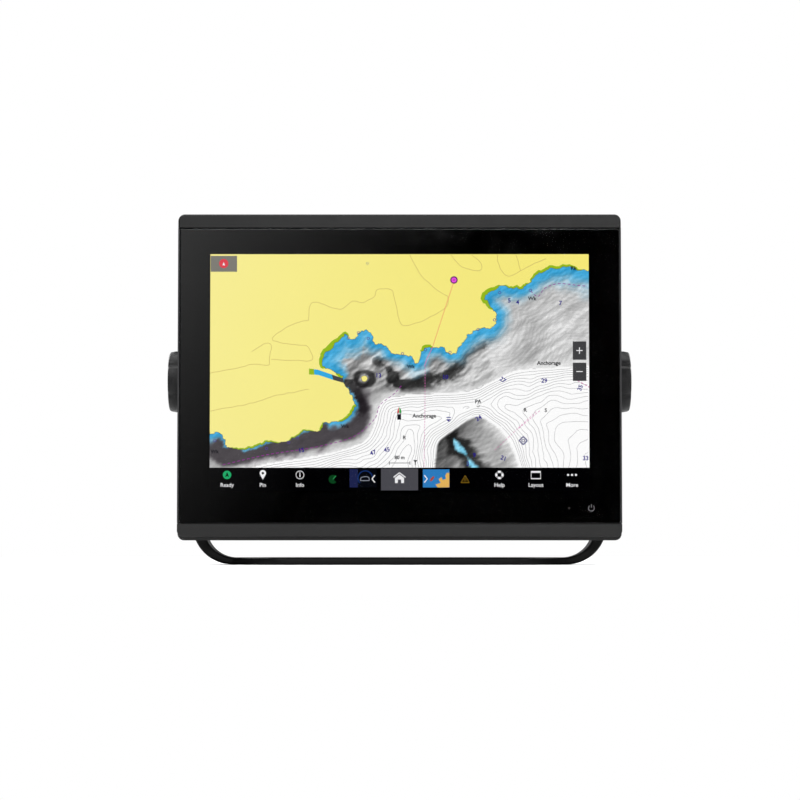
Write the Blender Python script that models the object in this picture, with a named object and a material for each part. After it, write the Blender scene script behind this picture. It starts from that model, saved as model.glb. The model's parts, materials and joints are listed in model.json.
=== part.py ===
"""A 12-inch chartplotter display in its bail bracket.

The bail stands on the XY plane with its foot centred on the origin, and the screen faces -Y.
The display hangs between the bail's two arms on a tilt axis along X. What belongs to the display
is placed from its datum, a point a little below that axis: X across, Y from front to back, Z up.
The knob sets are placed from the axis itself. All sizes are metres.
"""

import math

import bmesh
import bpy

# ---- driving dimensions of the display, measured from its datum
AXIS_HEIGHT = 0.1282
TILT = 0.0027  # how far the tilt axis lies above the datum
HALF_WIDTH = 0.1528
TOP, BOTTOM = 0.1161, -0.1087
CORNER = 0.0045
GLASS_FRONT = -0.0420
FRAME_BACK = -0.0240
CASE_BACK = 0.0180
FIN_BACK = 0.0270
GAP = 0.0003  # clearance between neighbours that touch on the bench

# ---- the screen: a 12.1-inch panel of 16:10
SCREEN_HALF = 0.13056
SCREEN_LOW, SCREEN_HIGH = -0.0746, 0.0886

# ---- the cover glass runs between the two trims
GLASS_HALF = 0.1515
GLASS_LOW, GLASS_HIGH = -0.0968, 0.1061
TRIM_GAP = 0.0006

# ---- the bail bracket
ARM_INSIDE, ARM_OUTSIDE = 0.1364, 0.1450
FOOT_THICKNESS = 0.0049
BEND_INSIDE = 0.0212
BEND_OUTSIDE = 0.0280
OUTER_BEND_TOP = 0.0280  # where the arm's outside turns straight up
RAMP_START = 0.1227  # where the underside leaves the surface it stands on
RAMP_SLOPE = 0.50
FOOT_HALF_DEPTH = 0.0350
ARM_EYE = 0.0155
BAIL_HOLE = 0.0027
BAIL_HOLES = [(x, y) for x in (-0.070, 0.070) for y in (-0.022, 0.022)]

# ---- the clamping knobs, M8 studs in brass inserts
STUD = 0.0040
INSERT = (0.1218, 0.1334)
BOSS_FACE = 0.1337
PIVOT_PAD = (0.1340, 0.1361)
KNOB_WASHER = (0.1453, 0.1465)
STUD_ENDS = (0.1240, 0.1567)
KNOB_FACE = 0.1468
GROOVE_DEPTH = 0.0016
GROOVES = 6
# the knob's outline: place along the axis, radius, depth of the grip grooves
KNOB_OUTLINE = [
    (KNOB_FACE, 0.0190, 0.0),
    (0.1484, 0.0206, 0.0010),
    (0.1577, 0.0210, GROOVE_DEPTH),
    (0.1605, 0.0202, GROOVE_DEPTH),
    (0.1616, 0.0184, 0.0006),
    (0.1624, 0.0110, 0.0),
    (0.1626, 0.0060, 0.0),
]

# ---- fasteners and sockets: where their centres are, X then Z
# a screw's size: head radius, head height, shank radius, shank length
CASE_SCREW = (0.0026, 0.0018, 0.0016, 0.0090)
BOARD_SCREW = (0.0024, 0.0018, 0.0012, 0.0100)
CHASSIS_SCREW = (0.0022, 0.0016, 0.0012, 0.0050)
CASE_SCREWS = [(s * 0.1456, z) for s in (-1, 1) for z in (-0.0740, 0.0860)] + [
    (s * 0.0600, z) for s in (-1, 1) for z in (-0.0890, 0.1023)
]
CHASSIS_SCREWS = [(s * 0.1364, z) for s in (-1, 1) for z in (-0.0560, 0.0700)]
BOARD_SCREWS = [(s * 0.1050, z) for s in (-1, 1) for z in (-0.0580, 0.0680)]
FLUSH_HOLES = [(x, z) for z in (-0.1030, 0.1110) for x in (-0.1200, 0.0, 0.1200)]
HOOKS = (-0.0850, -0.0400, 0.0400, 0.0850)
HOOK_ROWS = {"top": 0.1085, "bottom": -0.1000}
HOOK_HALF = 0.0007
SOCKET_ROW = -0.0500
# name: centre X, radius of the plug's space, radius of the barrel
SOCKETS = {
    "power_socket": (-0.0880, 0.0062, 0.0085),
    "data_bus_socket": (-0.0440, 0.0056, 0.0078),
    "network_socket": (0.0, 0.0068, 0.0090),
    "sonar_socket": (0.0440, 0.0084, 0.0108),
    "video_socket": (0.0880, 0.0056, 0.0078),
}

# ---- the memory card door on the back, hinged at its lower edge
DOOR_X, DOOR_Z = (0.0770, 0.1110), (0.0332, 0.0650)
DOOR_AXIS = (0.0164, 0.0332)  # Y and Z of the hinge pin
CARD_SLOTS = (0.0530, 0.0450)

# ---- smoothness of round shapes
SCREW_ROUND = 12
ROUND = 24
FINE = 48
CORNER_STEPS = 4


def layers(front, *thicknesses):
    """Front and back of sheets that lie behind each other, a GAP apart."""
    found = []
    for thickness in thicknesses:
        found.append((front, front + thickness))
        front += thickness + GAP
    return found


GLASS = (GLASS_FRONT, GLASS_FRONT + 0.0025)
# the black border is ink on the back of the glass, so a space is kept for it
INK_BACK = GLASS[1] + 0.0007
GASKET = (INK_BACK + GAP, INK_BACK + 0.0009)
SENSOR, PANEL, GUIDE, TRAY, CHASSIS = layers(
    INK_BACK + GAP, 0.0007, 0.0015, 0.0038, 0.0008, 0.0018
)
LEDGE = GASKET[1] + GAP
TRIM_SEAT = -0.0360
REBATE = -0.0276
SEAL = (REBATE + GAP, REBATE + 0.0010)
RIM_FRONT = SEAL[1] + GAP
BOARD = (-0.0080, -0.0064)
SHIELD = (BOARD[1] + GAP, -0.0039)
PAD = (SHIELD[1] + GAP, -0.0026)
CASE_WALL = 0.0026
FAR = 0.05  # how far a cutter runs past what it cuts
SPARE = 0.002  # a little past an edge that is already open


# ------------------------------------------------------------------ making solids
def start_clean():
    for obj in list(bpy.data.objects):
        bpy.data.objects.remove(obj)


def finish_of(name, colour, roughness=0.5, metallic=0.0):
    """A plain material, made once for each name."""
    found = bpy.data.materials.get(name)
    if found:
        return found
    made = bpy.data.materials.new(name)
    made.use_nodes = True
    shader = made.node_tree.nodes["Principled BSDF"]
    shader.inputs["Base Color"].default_value = (*colour, 1.0)
    shader.inputs["Roughness"].default_value = roughness
    shader.inputs["Metallic"].default_value = metallic
    return made


def empty(name, location=(0, 0, 0), parent=None):
    made = bpy.data.objects.new(name, None)
    bpy.context.scene.collection.objects.link(made)
    made.location = location
    made.parent = parent
    return made


def skin(name, rings, finish=None, parent=None, origin=(0, 0, 0), closed=False):
    """A solid through rings of points: capped at its two ends, or closed end to start."""
    mesh = bmesh.new()
    loops = []
    for ring in rings:
        loops.append([mesh.verts.new([p - o for p, o in zip(point, origin)]) for point in ring])
    pairs = list(zip(loops, loops[1:]))
    if closed:
        pairs.append((loops[-1], loops[0]))
    else:
        mesh.faces.new(loops[0])
        mesh.faces.new(loops[-1])
    for one, other in pairs:
        for i in range(len(one)):
            j = (i + 1) % len(one)
            mesh.faces.new((one[i], one[j], other[j], other[i]))
    bmesh.ops.recalc_face_normals(mesh, faces=mesh.faces)
    data = bpy.data.meshes.new(name)
    mesh.to_mesh(data)
    mesh.free()
    data.shade_smooth()
    data.set_sharp_from_angle(angle=math.radians(35))
    made = bpy.data.objects.new(name, data)
    bpy.context.scene.collection.objects.link(made)
    made.location = origin
    made.parent = parent
    if finish:
        data.materials.append(finish)
    return made


def rounded(x, z, radius=0.0005, steps=CORNER_STEPS):
    """A rectangle with round corners, from X and Z limits."""
    corners = (
        (x[1] - radius, z[1] - radius, 0),
        (x[0] + radius, z[1] - radius, 90),
        (x[0] + radius, z[0] + radius, 180),
        (x[1] - radius, z[0] + radius, 270),
    )
    outline = []
    for cx, cz, start in corners:
        for step in range(steps + 1):
            angle = math.radians(start + 90 * step / steps)
            outline.append((cx + radius * math.cos(angle), cz + radius * math.sin(angle)))
    return outline


def across(x, z, radius, y):
    """A rounded rectangle standing at depth y."""
    return [(px, y, pz) for px, pz in rounded(x, z, radius)]


def both(half):
    return (-half, half)


def slab(name, x, z, y, radius, *dress):
    return skin(name, [across(x, z, radius, y[0]), across(x, z, radius, y[1])], *dress)


def ring_plate(name, outer, inner, y, *dress):
    """A flat frame. outer and inner are (x limits, z limits, corner radius)."""
    rings = [across(*outer, y[0]), across(*outer, y[1]), across(*inner, y[1]), across(*inner, y[0])]
    return skin(name, rings, *dress, closed=True)


def circle(axis, centre, along, radius, steps=ROUND):
    """A ring of points round a line parallel to X or Y."""
    points = []
    for step in range(steps):
        angle = 2 * math.pi * step / steps
        one, two = radius * math.cos(angle), radius * math.sin(angle)
        if axis == "X":
            points.append((along, centre[0] + one, centre[1] + two))
        else:
            points.append((centre[0] + one, along, centre[1] + two))
    return points


def turned(name, axis, centre, profile, *dress, steps=ROUND, closed=False, origin=(0, 0, 0)):
    """A turned piece. profile is a list of (place along the axis, radius)."""
    rings = [circle(axis, centre, along, radius, steps) for along, radius in profile]
    return skin(name, rings, *dress, origin=origin, closed=closed)


def block(name, x, y, z):
    """A plain box used as a tool or as a lump that is joined on."""
    corners = ((y[0], z[0]), (y[1], z[0]), (y[1], z[1]), (y[0], z[1]))
    return skin(name, [[(end, cy, cz) for cy, cz in corners] for end in x])


def rod(name, axis, centre, along, radius, steps=ROUND):
    return turned(name, axis, centre, [(along[0], radius), (along[1], radius)], steps=steps)


def use_tool(target, tool, operation):
    """A Boolean with a hidden tool, which moves with its target."""
    tool.hide_render = True
    tool.display_type = "WIRE"
    tool.parent = target.parent
    step = target.modifiers.new(tool.name, "BOOLEAN")
    step.operation = operation
    step.solver = "EXACT"
    step.object = tool


def cut(target, *tools):
    for tool in tools:
        use_tool(target, tool, "DIFFERENCE")


def join(target, *tools):
    for tool in tools:
        use_tool(target, tool, "UNION")


def screw(name, centre, seat, size, finish, parent):
    """A pan-head screw along Y with a socket in its head. seat is the face under the head."""
    head_radius, head_height, radius, length = size
    socket = 0.45 * head_radius
    profile = [
        (seat + 0.35 * head_height, socket),
        (seat + head_height, socket),
        (seat + head_height, 0.75 * head_radius),
        (seat + 0.5 * head_height, head_radius),
        (seat, head_radius),
        (seat, radius),
        (seat - length, radius),
    ]
    return turned(name, "Y", centre, profile, finish, parent, steps=SCREW_ROUND)


# ------------------------------------------------------------------ finishes
BLACK = finish_of("case_plastic", (0.030, 0.030, 0.032), 0.55)
GREY = finish_of("trim_plastic", (0.070, 0.070, 0.072), 0.50)
KNOB = finish_of("knob_rubber", (0.045, 0.045, 0.047), 0.70)
BAIL = finish_of("bail_plastic", (0.026, 0.026, 0.028), 0.50)
CLEAR = finish_of("cover_glass", (0.55, 0.58, 0.60), 0.05)
RUBBER = finish_of("seal_rubber", (0.020, 0.020, 0.020), 0.80)
SCREEN = finish_of("screen", (0.75, 0.72, 0.42), 0.20)
WHITE = finish_of("light_guide", (0.85, 0.87, 0.88), 0.30)
SHEET = finish_of("sheet_steel", (0.60, 0.61, 0.62), 0.35, 1.0)
ALLOY = finish_of("alloy", (0.66, 0.67, 0.69), 0.40, 1.0)
FIN = finish_of("black_alloy", (0.035, 0.035, 0.038), 0.45, 1.0)
STEEL = finish_of("screw_steel", (0.58, 0.58, 0.60), 0.30, 1.0)
BRASS = finish_of("brass", (0.70, 0.52, 0.24), 0.30, 1.0)
GREEN = finish_of("circuit_board", (0.02, 0.16, 0.07), 0.40)
PINK = finish_of("thermal_pad", (0.75, 0.42, 0.45), 0.85)
CERAMIC = finish_of("antenna_ceramic", (0.72, 0.66, 0.52), 0.60)
AMBER = finish_of("flex_film", (0.62, 0.30, 0.05), 0.35)
SOCKET = finish_of("socket_plastic", (0.018, 0.018, 0.020), 0.45)


# ------------------------------------------------------------------ front of the display
def front_frame(display):
    outline = (both(HALF_WIDTH), (BOTTOM, TOP))
    chamfer = 0.0010
    back = ((-HALF_WIDTH + chamfer, HALF_WIDTH - chamfer), (BOTTOM + chamfer, TOP - chamfer))
    rings = [
        across(*outline, CORNER, GLASS_FRONT + 0.0006),
        across(*outline, CORNER, FRAME_BACK - chamfer),
        across(*back, CORNER - chamfer, FRAME_BACK),
    ]
    frame = skin("front_frame", rings, BLACK, display)
    in_front = (-FAR, TRIM_SEAT)
    cut(
        frame,
        block("top_trim_seat", both(0.2), in_front, (GLASS_HIGH + GAP, 0.2)),
        block("bottom_trim_seat", both(0.2), in_front, (-0.2, GLASS_LOW - GAP)),
        block("glass_pocket", both(GLASS_HALF + GAP), (-FAR, LEDGE), (GLASS_LOW - SPARE, GLASS_HIGH + SPARE)),
        slab("screen_opening", both(0.1395), (-0.0830, 0.0960), (-FAR, 0), 0.004),
        slab("cover_rebate", both(0.1490), (-0.0925, 0.1065), (REBATE, 0), 0.010),
        block("touch_key_pocket", (0.1085, 0.1405), (-FAR, -0.0352), (-0.0930, -0.0800)),
    )
    for i, (x, z) in enumerate(FLUSH_HOLES):
        cut(frame, rod(f"flush_hole_{i + 1}", "Y", (x, z), (-FAR, 0), 0.0023, 12))
    for i, centre in enumerate(CASE_SCREWS):
        cut(frame, rod(f"case_screw_hole_{i + 1}", "Y", centre, (-0.0336, 0), 0.0019, 12))
    for edge, z in HOOK_ROWS.items():
        for i, x in enumerate(HOOKS):
            high = (z - HOOK_HALF - 0.0005, z + HOOK_HALF + 0.0005)
            cut(frame, block(f"{edge}_hook_slot_{i + 1}", (x - 0.0046, x + 0.0046), (-FAR, -0.0296), high))
    for i, (x, z) in enumerate(CHASSIS_SCREWS):
        side = math.copysign(1, x)
        wall = sorted((side * 0.1334, side * 0.1405))
        high = (z - 0.0050, z + 0.0050)
        join(frame, block(f"chassis_lug_{i + 1}", wall, (-0.0350, CHASSIS[0] - GAP), high))
        cut(frame, rod(f"chassis_hole_{i + 1}", "Y", (x, z), (-0.0345, 0), 0.0015, 12))


def front_glass(display):
    x, z, edge = both(GLASS_HALF), (GLASS_LOW, GLASS_HIGH), 0.0005
    inset = ((x[0] + edge, x[1] - edge), (z[0] + edge, z[1] - edge))
    rings = [
        across(*inset, 0.0006, GLASS[0]),
        across(x, z, 0.0010, GLASS[0] + edge),
        across(x, z, 0.0010, GLASS[1]),
    ]
    skin("cover_glass", rings, CLEAR, display)
    gasket = ring_plate(
        "glass_gasket",
        (both(0.1506), (-0.0960, 0.1050), 0.0020),
        (both(0.1400), (-0.0836, 0.0968), 0.0040),
        GASKET,
        RUBBER,
        display,
    )
    eye = (0.1160, -0.0880)
    cut(gasket, rod("light_sensor_sight", "Y", eye, (-FAR, 0), 0.0016, 16))
    slab("touch_sensor", both(0.1345), (-0.0795, 0.0935), SENSOR, 0.002, CLEAR, display)
    slab("touch_key_board", (0.1100, 0.1390), (-0.0915, -0.0812), (-0.0371, -0.0359), 0.0010, GREEN, display)


def cap_outline(flat, tip, half, radius, y):
    """A bar with square corners at the height flat and round ones at the height tip."""
    up = math.copysign(1, tip - flat)
    arc = []
    for step in range(CORNER_STEPS + 1):
        angle = math.radians(90 * step / CORNER_STEPS)
        arc.append((half - radius + radius * math.cos(angle), tip - up * radius * (1 - math.sin(angle))))
    right = [(half, flat)] + arc
    return [(x, y, z) for x, z in right] + [(-x, y, z) for x, z in reversed(right)]


def trim(name, flat, tip, hook_z, display):
    """A snap cover over the flush-mounting screws, hollow behind, with four hooks."""
    up = math.copysign(1, tip - flat)
    edge, wall = 0.0012, 0.0020
    rings = []
    thickness = TRIM_SEAT - GAP - GLASS_FRONT
    for inset, y in ((edge, 0), (0.3 * edge, 0.5 * edge), (0, 1.2 * edge), (0, thickness)):
        near = flat + up * 0.4 * inset
        rings.append(cap_outline(near, tip - up * inset, HALF_WIDTH - inset, CORNER - inset, GLASS_FRONT + y))
    made = skin(name, rings, GREY, display)
    hollow = sorted((flat + up * wall, tip - up * wall))
    cut(made, block(f"{name}_hollow", both(0.1470), (GLASS_FRONT + 0.0022, 0), hollow))
    for i, x in enumerate(HOOKS):
        reach = (GLASS_FRONT + 0.0015, -0.0302)
        high = (hook_z - HOOK_HALF, hook_z + HOOK_HALF)
        join(made, block(f"{name}_hook_{i + 1}", (x - 0.004, x + 0.004), reach, high))


# ------------------------------------------------------------------ screen module
def screen_module(display):
    slab("lcd_panel", both(0.1330), (-0.0776, 0.0916), PANEL, 0.0015, SCREEN, display)
    slab("light_guide", both(0.1318), (-0.0732, 0.0905), GUIDE, 0.0010, WHITE, display)
    slab("led_strip", both(0.1280), (-0.0764, -0.0738), (GUIDE[0] + GAP, GUIDE[1]), 0.0006, WHITE, display)
    inside = (both(0.1322), (-0.0769, 0.0909), 0.0010)
    outside = (both(0.1330), (-0.0777, 0.0917), 0.0018)
    rim = PANEL[1] + GAP
    places = ((inside, TRAY[0]), (inside, rim), (outside, rim), (outside, TRAY[1]))
    rings = [across(*outline, y) for outline, y in places]
    skin("backlight_tray", rings, SHEET, display)


def chassis(display):
    plate = slab("chassis_plate", both(0.1390), (-0.0825, 0.0955), CHASSIS, 0.004, ALLOY, display)
    cut(plate, block("ribbon_slot", both(0.0200), (-FAR, 0), (-0.0610, -0.0530)))
    for i, centre in enumerate(BOARD_SCREWS):
        post = (CHASSIS[0] + 0.0005, BOARD[0] - GAP)
        join(plate, rod(f"board_post_{i + 1}", "Y", centre, post, 0.0034, 16))
        cut(plate, rod(f"board_post_hole_{i + 1}", "Y", centre, (-0.0190, 0), 0.0015, 12))
        screw(f"board_screw_{i + 1}", centre, BOARD[1] + GAP, BOARD_SCREW, STEEL, display)
    for i, centre in enumerate(CHASSIS_SCREWS):
        cut(plate, rod(f"chassis_clearance_{i + 1}", "Y", centre, (-FAR, 0), 0.0016, 12))
        screw(f"chassis_screw_{i + 1}", centre, CHASSIS[1] + GAP, CHASSIS_SCREW, STEEL, display)


# ------------------------------------------------------------------ electronics
def electronics(display):
    board = slab("main_board", both(0.1120), (-0.0640, 0.0740), BOARD, 0.003, GREEN, display)
    for i, centre in enumerate(BOARD_SCREWS):
        cut(board, rod(f"board_hole_{i + 1}", "Y", centre, (-FAR, 0), 0.0017, 12))
    slab("processor_shield", both(0.0200), (0.0080, 0.0400), SHIELD, 0.002, SHEET, display)
    slab("thermal_pad", both(0.0160), (0.0120, 0.0360), PAD, 0.001, PINK, display)
    can, hole, top = 0.0080, 0.0015, 0.0010
    buzzer = [(BOARD[1] + GAP, can), (top - 0.0006, can), (top, can - 0.0006), (top, hole), (-top, hole)]
    turned("alarm_buzzer", "Y", (-0.0850, 0.0400), buzzer, SOCKET, display)
    antenna = block("gps_antenna", (-0.1010, -0.0740), (-0.0210, 0.0060), (0.0790, 0.0802))
    antenna.data.materials.append(CERAMIC)
    antenna.parent = display
    join(antenna, block("antenna_patch", (-0.1000, -0.0750), (-0.0200, 0.0050), (0.0799, 0.0842)))
    display_ribbon(display)


def display_ribbon(display):
    """A flat flex from the screen module, through the chassis slot and up to the main board."""
    half_width, half_thick = 0.0150, 0.0002
    start, end = (-0.0302, -0.0570), (BOARD[0] - GAP, -0.0420)
    steps = 14
    rings = []
    for step in range(steps + 1):
        t = step / steps
        ease = t * t * (3 - 2 * t)
        y = start[0] + (end[0] - start[0]) * t
        z = start[1] + (end[1] - start[1]) * ease
        corners = ((-1, -1), (1, -1), (1, 1), (-1, 1))
        rings.append([(s * half_width, y, z + u * half_thick) for s, u in corners])
    skin("display_ribbon", rings, AMBER, display)


# ------------------------------------------------------------------ back of the display
def rear_cover(display):
    neck = (both(0.1310), (-0.0840, 0.0920), 0.016)
    waist = (both(0.1298), (-0.0828, 0.0908), 0.016)
    face = (both(0.1180), (-0.0720, 0.0800), 0.013)
    rim = (both(0.1487), (-0.0922, 0.1062), 0.0097)

    def inside(part):
        (x0, x1), (z0, z1), radius = part
        wall = CASE_WALL
        return ((x0 + wall, x1 - wall), (z0 + wall, z1 - wall), radius - wall)

    rings = [
        across(*inside(face), CASE_BACK - CASE_WALL),
        across(*inside(waist), 0.0066),
        across(*inside(neck), RIM_FRONT),
        across(*rim, RIM_FRONT),
        across(*rim, FRAME_BACK),
        across(*neck, FRAME_BACK),
        across(*waist, 0.0080),
        across(*face, CASE_BACK),
    ]
    cover = skin("rear_cover", rings, BLACK, display)
    for side in (-1, 1):
        label = "left" if side < 0 else "right"
        inner, outer = side * 0.1180, side * BOSS_FACE
        join(cover, rod(f"{label}_boss", "X", (0, TILT), sorted((inner, outer)), 0.0105))
        join(cover, rod(f"{label}_boss_face", "X", (0, TILT), sorted((side * 0.1285, outer)), 0.0165, 32))
        hole = sorted((side * (INSERT[0] - GAP), side * 0.1500))
        cut(cover, rod(f"{label}_insert_hole", "X", (0, TILT), hole, 0.0068))
    join(cover, block("door_well", (0.0740, 0.1140), (0.0060, 0.0160), (0.0280, 0.0680)))
    cut(
        cover,
        block("heat_sink_window", both(0.0600), (0, FAR), (-0.0220, 0.0660)),
        block("door_recess", (0.0766, 0.1114), (0.0144, FAR), (0.0306, 0.0654)),
        block("hinge_trough", (0.0766, 0.1114), (0.0138, FAR), (0.0306, 0.0360)),
        block("card_well", (0.0800, 0.1080), (0.0086, FAR), (0.0390, 0.0612)),
        block("reader_window", (0.0836, 0.1044), (0, FAR), (0.0400, 0.0580)),
        block("thumb_notch", (0.0890, 0.0990), (0.0150, FAR), (0.0650, 0.0675)),
        rod("pin_hole", "X", DOOR_AXIS, (0.0748, 0.1132), 0.0012, 12),
    )
    for name, (x, _, barrel) in SOCKETS.items():
        cut(cover, rod(f"{name}_hole", "Y", (x, SOCKET_ROW), (0, FAR), barrel - 0.0012))
    for i, centre in enumerate(CASE_SCREWS):
        cut(cover, rod(f"rim_hole_{i + 1}", "Y", centre, (-FAR, 0), 0.0019, 12))
        screw(f"case_screw_{i + 1}", centre, FRAME_BACK + GAP, CASE_SCREW, STEEL, display)
    ring_plate(
        "main_seal",
        (both(0.1428), (-0.0860, 0.0990), 0.0070),
        (both(0.1402), (-0.0837, 0.0967), 0.0045),
        SEAL,
        RUBBER,
        display,
    )


def heat_sink(display):
    """A finned casting that fills the window of the rear cover and reaches in to the processor."""
    fins, fin, half = 15, 0.0020, 0.0596
    root = CASE_BACK - 0.0004
    pitch = (2 * half - fin) / (fins - 1)
    comb = [(half, 0.0130), (-half, 0.0130)]
    for i in range(fins):
        left = -half + i * pitch
        draft = 0.0003
        comb += [(left, root), (left + draft, FIN_BACK), (left + fin - draft, FIN_BACK), (left + fin, root)]
    rings = [[(x, y, z) for x, y in comb] for z in (-0.0216, 0.0656)]
    sink = skin("heat_sink", rings, FIN, display)
    inner = CASE_BACK - CASE_WALL - GAP
    join(
        sink,
        block("sink_flange", both(0.0640), (0.0118, inner), (-0.0260, 0.0700)),
        block("sink_pedestal", both(0.0220), (PAD[1] + GAP, 0.0125), (0.0060, 0.0420)),
    )


def sockets(display):
    for name, (x, space, barrel) in SOCKETS.items():
        seat = CASE_BACK + GAP
        profile = [
            (seat + 0.0006, space),
            (seat + 0.0097, space),
            (seat + 0.0097, barrel - 0.0004),
            (seat + 0.0091, barrel),
            (seat + 0.0024, barrel),
            (seat + 0.0024, barrel + 0.0026),
            (seat, barrel + 0.0026),
            (seat, barrel - 0.0015),
            (BOARD[1] + GAP, barrel - 0.0015),
        ]
        turned(name, "Y", (x, SOCKET_ROW), profile, SOCKET, display)


def card_bay(display):
    reader = block("card_reader", (0.0840, 0.1040), (BOARD[1] + GAP, 0.0083), (0.0404, 0.0576))
    reader.data.materials.append(SOCKET)
    reader.parent = display
    for i, z in enumerate(CARD_SLOTS):
        cut(reader, block(f"card_slot_{i + 1}", (0.0882, 0.0998), (-0.0053, FAR), (z - 0.0008, z + 0.0008)))
    turned("door_pin", "X", DOOR_AXIS, [(0.0752, 0.0009), (0.1128, 0.0009)], STEEL, display, steps=12)
    hinge = empty("card_door_hinge", (0, *DOOR_AXIS), display)
    barrel = (0.0022, 0.0013)
    y0, z0 = DOOR_AXIS
    door = slab("card_door", DOOR_X, (0, DOOR_Z[1] - z0), (0.0160 - y0, 0.0183 - y0), 0.0003, BLACK, hinge)
    join(door, rod("door_barrel", "X", (0, 0), DOOR_X, barrel[0], 16))
    cut(door, rod("door_barrel_bore", "X", (0, 0), (0.07, 0.12), barrel[1], 12))
    ring_plate(
        "door_seal",
        ((0.0774, 0.1106), (0.0363 - z0, 0.0647 - z0), 0.0010),
        ((0.0796, 0.1084), (0.0386 - z0, 0.0625 - z0), 0.0006),
        (0.0147 - y0, 0.0157 - y0),
        RUBBER,
        hinge,
    )


# ------------------------------------------------------------------ tilt joint and knobs
def lobed(along, radius, depth):
    """A ring round the X axis, grooved for grip. The first groove is 30 degrees above level."""
    points = []
    for step in range(FINE):
        angle = 2 * math.pi * step / FINE
        r = radius - depth * (0.5 - 0.5 * math.cos(GROOVES * angle)) ** 6
        points.append((along, r * math.cos(angle), r * math.sin(angle)))
    return points


def knob_set(side, axis):
    """Everything clamped on one side, from the insert in the case out to the knob."""
    label = "left" if side < 0 else "right"

    def hollow(name, along, inner, outer, finish, parent, steps=ROUND):
        a, b = (side * along[0], side * along[1])
        profile = [(a, outer), (b, outer), (b, inner), (a, inner)]
        return turned(name, "X", (0, 0), profile, finish, parent, steps=steps, closed=True)

    hollow(f"{label}_insert", INSERT, STUD + GAP, 0.0065, BRASS, axis)
    hollow(f"{label}_pivot_pad", PIVOT_PAD, 0.0050, 0.0155, RUBBER, axis, 32)
    travel = empty(f"{label}_knob_travel", (0, 0, 0), axis)
    hollow(f"{label}_knob_washer", KNOB_WASHER, STUD + 0.0007, 0.0130, STEEL, travel)
    spin = empty(f"{label}_knob_spin", (0, 0, 0), travel)
    stud_tip, stud_head = STUD_ENDS
    profile = [(stud_tip, 0.0032), (stud_tip + 0.0010, STUD), (stud_head, STUD)]
    turned(f"{label}_stud", "X", (0, 0), [(side * a, r) for a, r in profile], STEEL, spin)
    socket = STUD + GAP
    rings = [circle("X", (0, 0), side * (stud_head + GAP), socket, FINE)]
    rings.append(circle("X", (0, 0), side * KNOB_FACE, socket, FINE))
    rings += [lobed(side * along, radius, depth) for along, radius, depth in KNOB_OUTLINE]
    skin(f"{label}_knob", rings, KNOB, spin)


# ------------------------------------------------------------------ bail bracket
def smooth(t):
    t = min(max(t, 0.0), 1.0)
    return t * t * (3 - 2 * t)


def bail_section(x_in, z_in, x_out, z_out, front, back):
    return [(x_in, front, z_in), (x_in, back, z_in), (x_out, back, z_out), (x_out, front, z_out)]


def bend_outside(x):
    """Height of the bend's outer side at x: a straight ramp, then an arc that ends straight up."""
    ramp = RAMP_SLOPE * (x - RAMP_START)
    reach = x - (ARM_OUTSIDE - BEND_OUTSIDE)
    arc = OUTER_BEND_TOP - math.sqrt(max(BEND_OUTSIDE**2 - reach**2, 0.0))
    return max(ramp, arc, 0.0)


def outer_point(turn, centre):
    """Where a line from the bend's inner centre, at an angle from straight down, meets the outside."""
    near, far = BEND_INSIDE, 0.060
    for _ in range(40):
        middle = 0.5 * (near + far)
        x, z = centre[0] + middle * math.sin(turn), centre[1] - middle * math.cos(turn)
        if x < ARM_OUTSIDE and z > bend_outside(x):
            near = middle
        else:
            far = middle
    return centre[0] + near * math.sin(turn), centre[1] - near * math.cos(turn)


def half_bail(side):
    """Sections from the middle of the foot to the top of one arm, on the side given."""
    bend_x = ARM_INSIDE - BEND_INSIDE
    bend_z = FOOT_THICKNESS + BEND_INSIDE
    sections = []

    def depth(x):
        narrow = smooth((x - 0.082) / 0.036)
        return -FOOT_HALF_DEPTH + narrow * 0.0290, FOOT_HALF_DEPTH - narrow * 0.0150

    for x in (0.0, 0.0500, 0.0820, 0.0900, 0.0970, 0.1040):
        sections.append(bail_section(side * x, FOOT_THICKNESS, side * x, 0.0, *depth(x)))
    bend_steps = 9
    for step in range(bend_steps + 1):
        angle = math.radians(90 * step / bend_steps)
        sin, cos = math.sin(angle), math.cos(angle)
        inner = (bend_x + BEND_INSIDE * sin, bend_z - BEND_INSIDE * cos)
        outer = outer_point(angle, (bend_x, bend_z))
        sections.append(
            bail_section(side * inner[0], inner[1], side * outer[0], outer[1], *depth(outer[0]))
        )
    low = bend_z
    arm_steps = 4
    for step in range(1, arm_steps + 1):
        t = step / arm_steps
        z = low + (AXIS_HEIGHT - low) * t
        ease = smooth(t)
        front = -0.0060 - (ARM_EYE - 0.0060) * ease
        back = 0.0200 - (0.0200 - ARM_EYE) * ease
        sections.append(bail_section(side * ARM_INSIDE, z, side * ARM_OUTSIDE, z, front, back))
    eye_steps = 8
    for step in range(1, eye_steps):
        angle = math.radians(90 * step / eye_steps)
        z = AXIS_HEIGHT + ARM_EYE * math.sin(angle)
        half = ARM_EYE * math.cos(angle)
        sections.append(bail_section(side * ARM_INSIDE, z, side * ARM_OUTSIDE, z, -half, half))
    return sections


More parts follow.
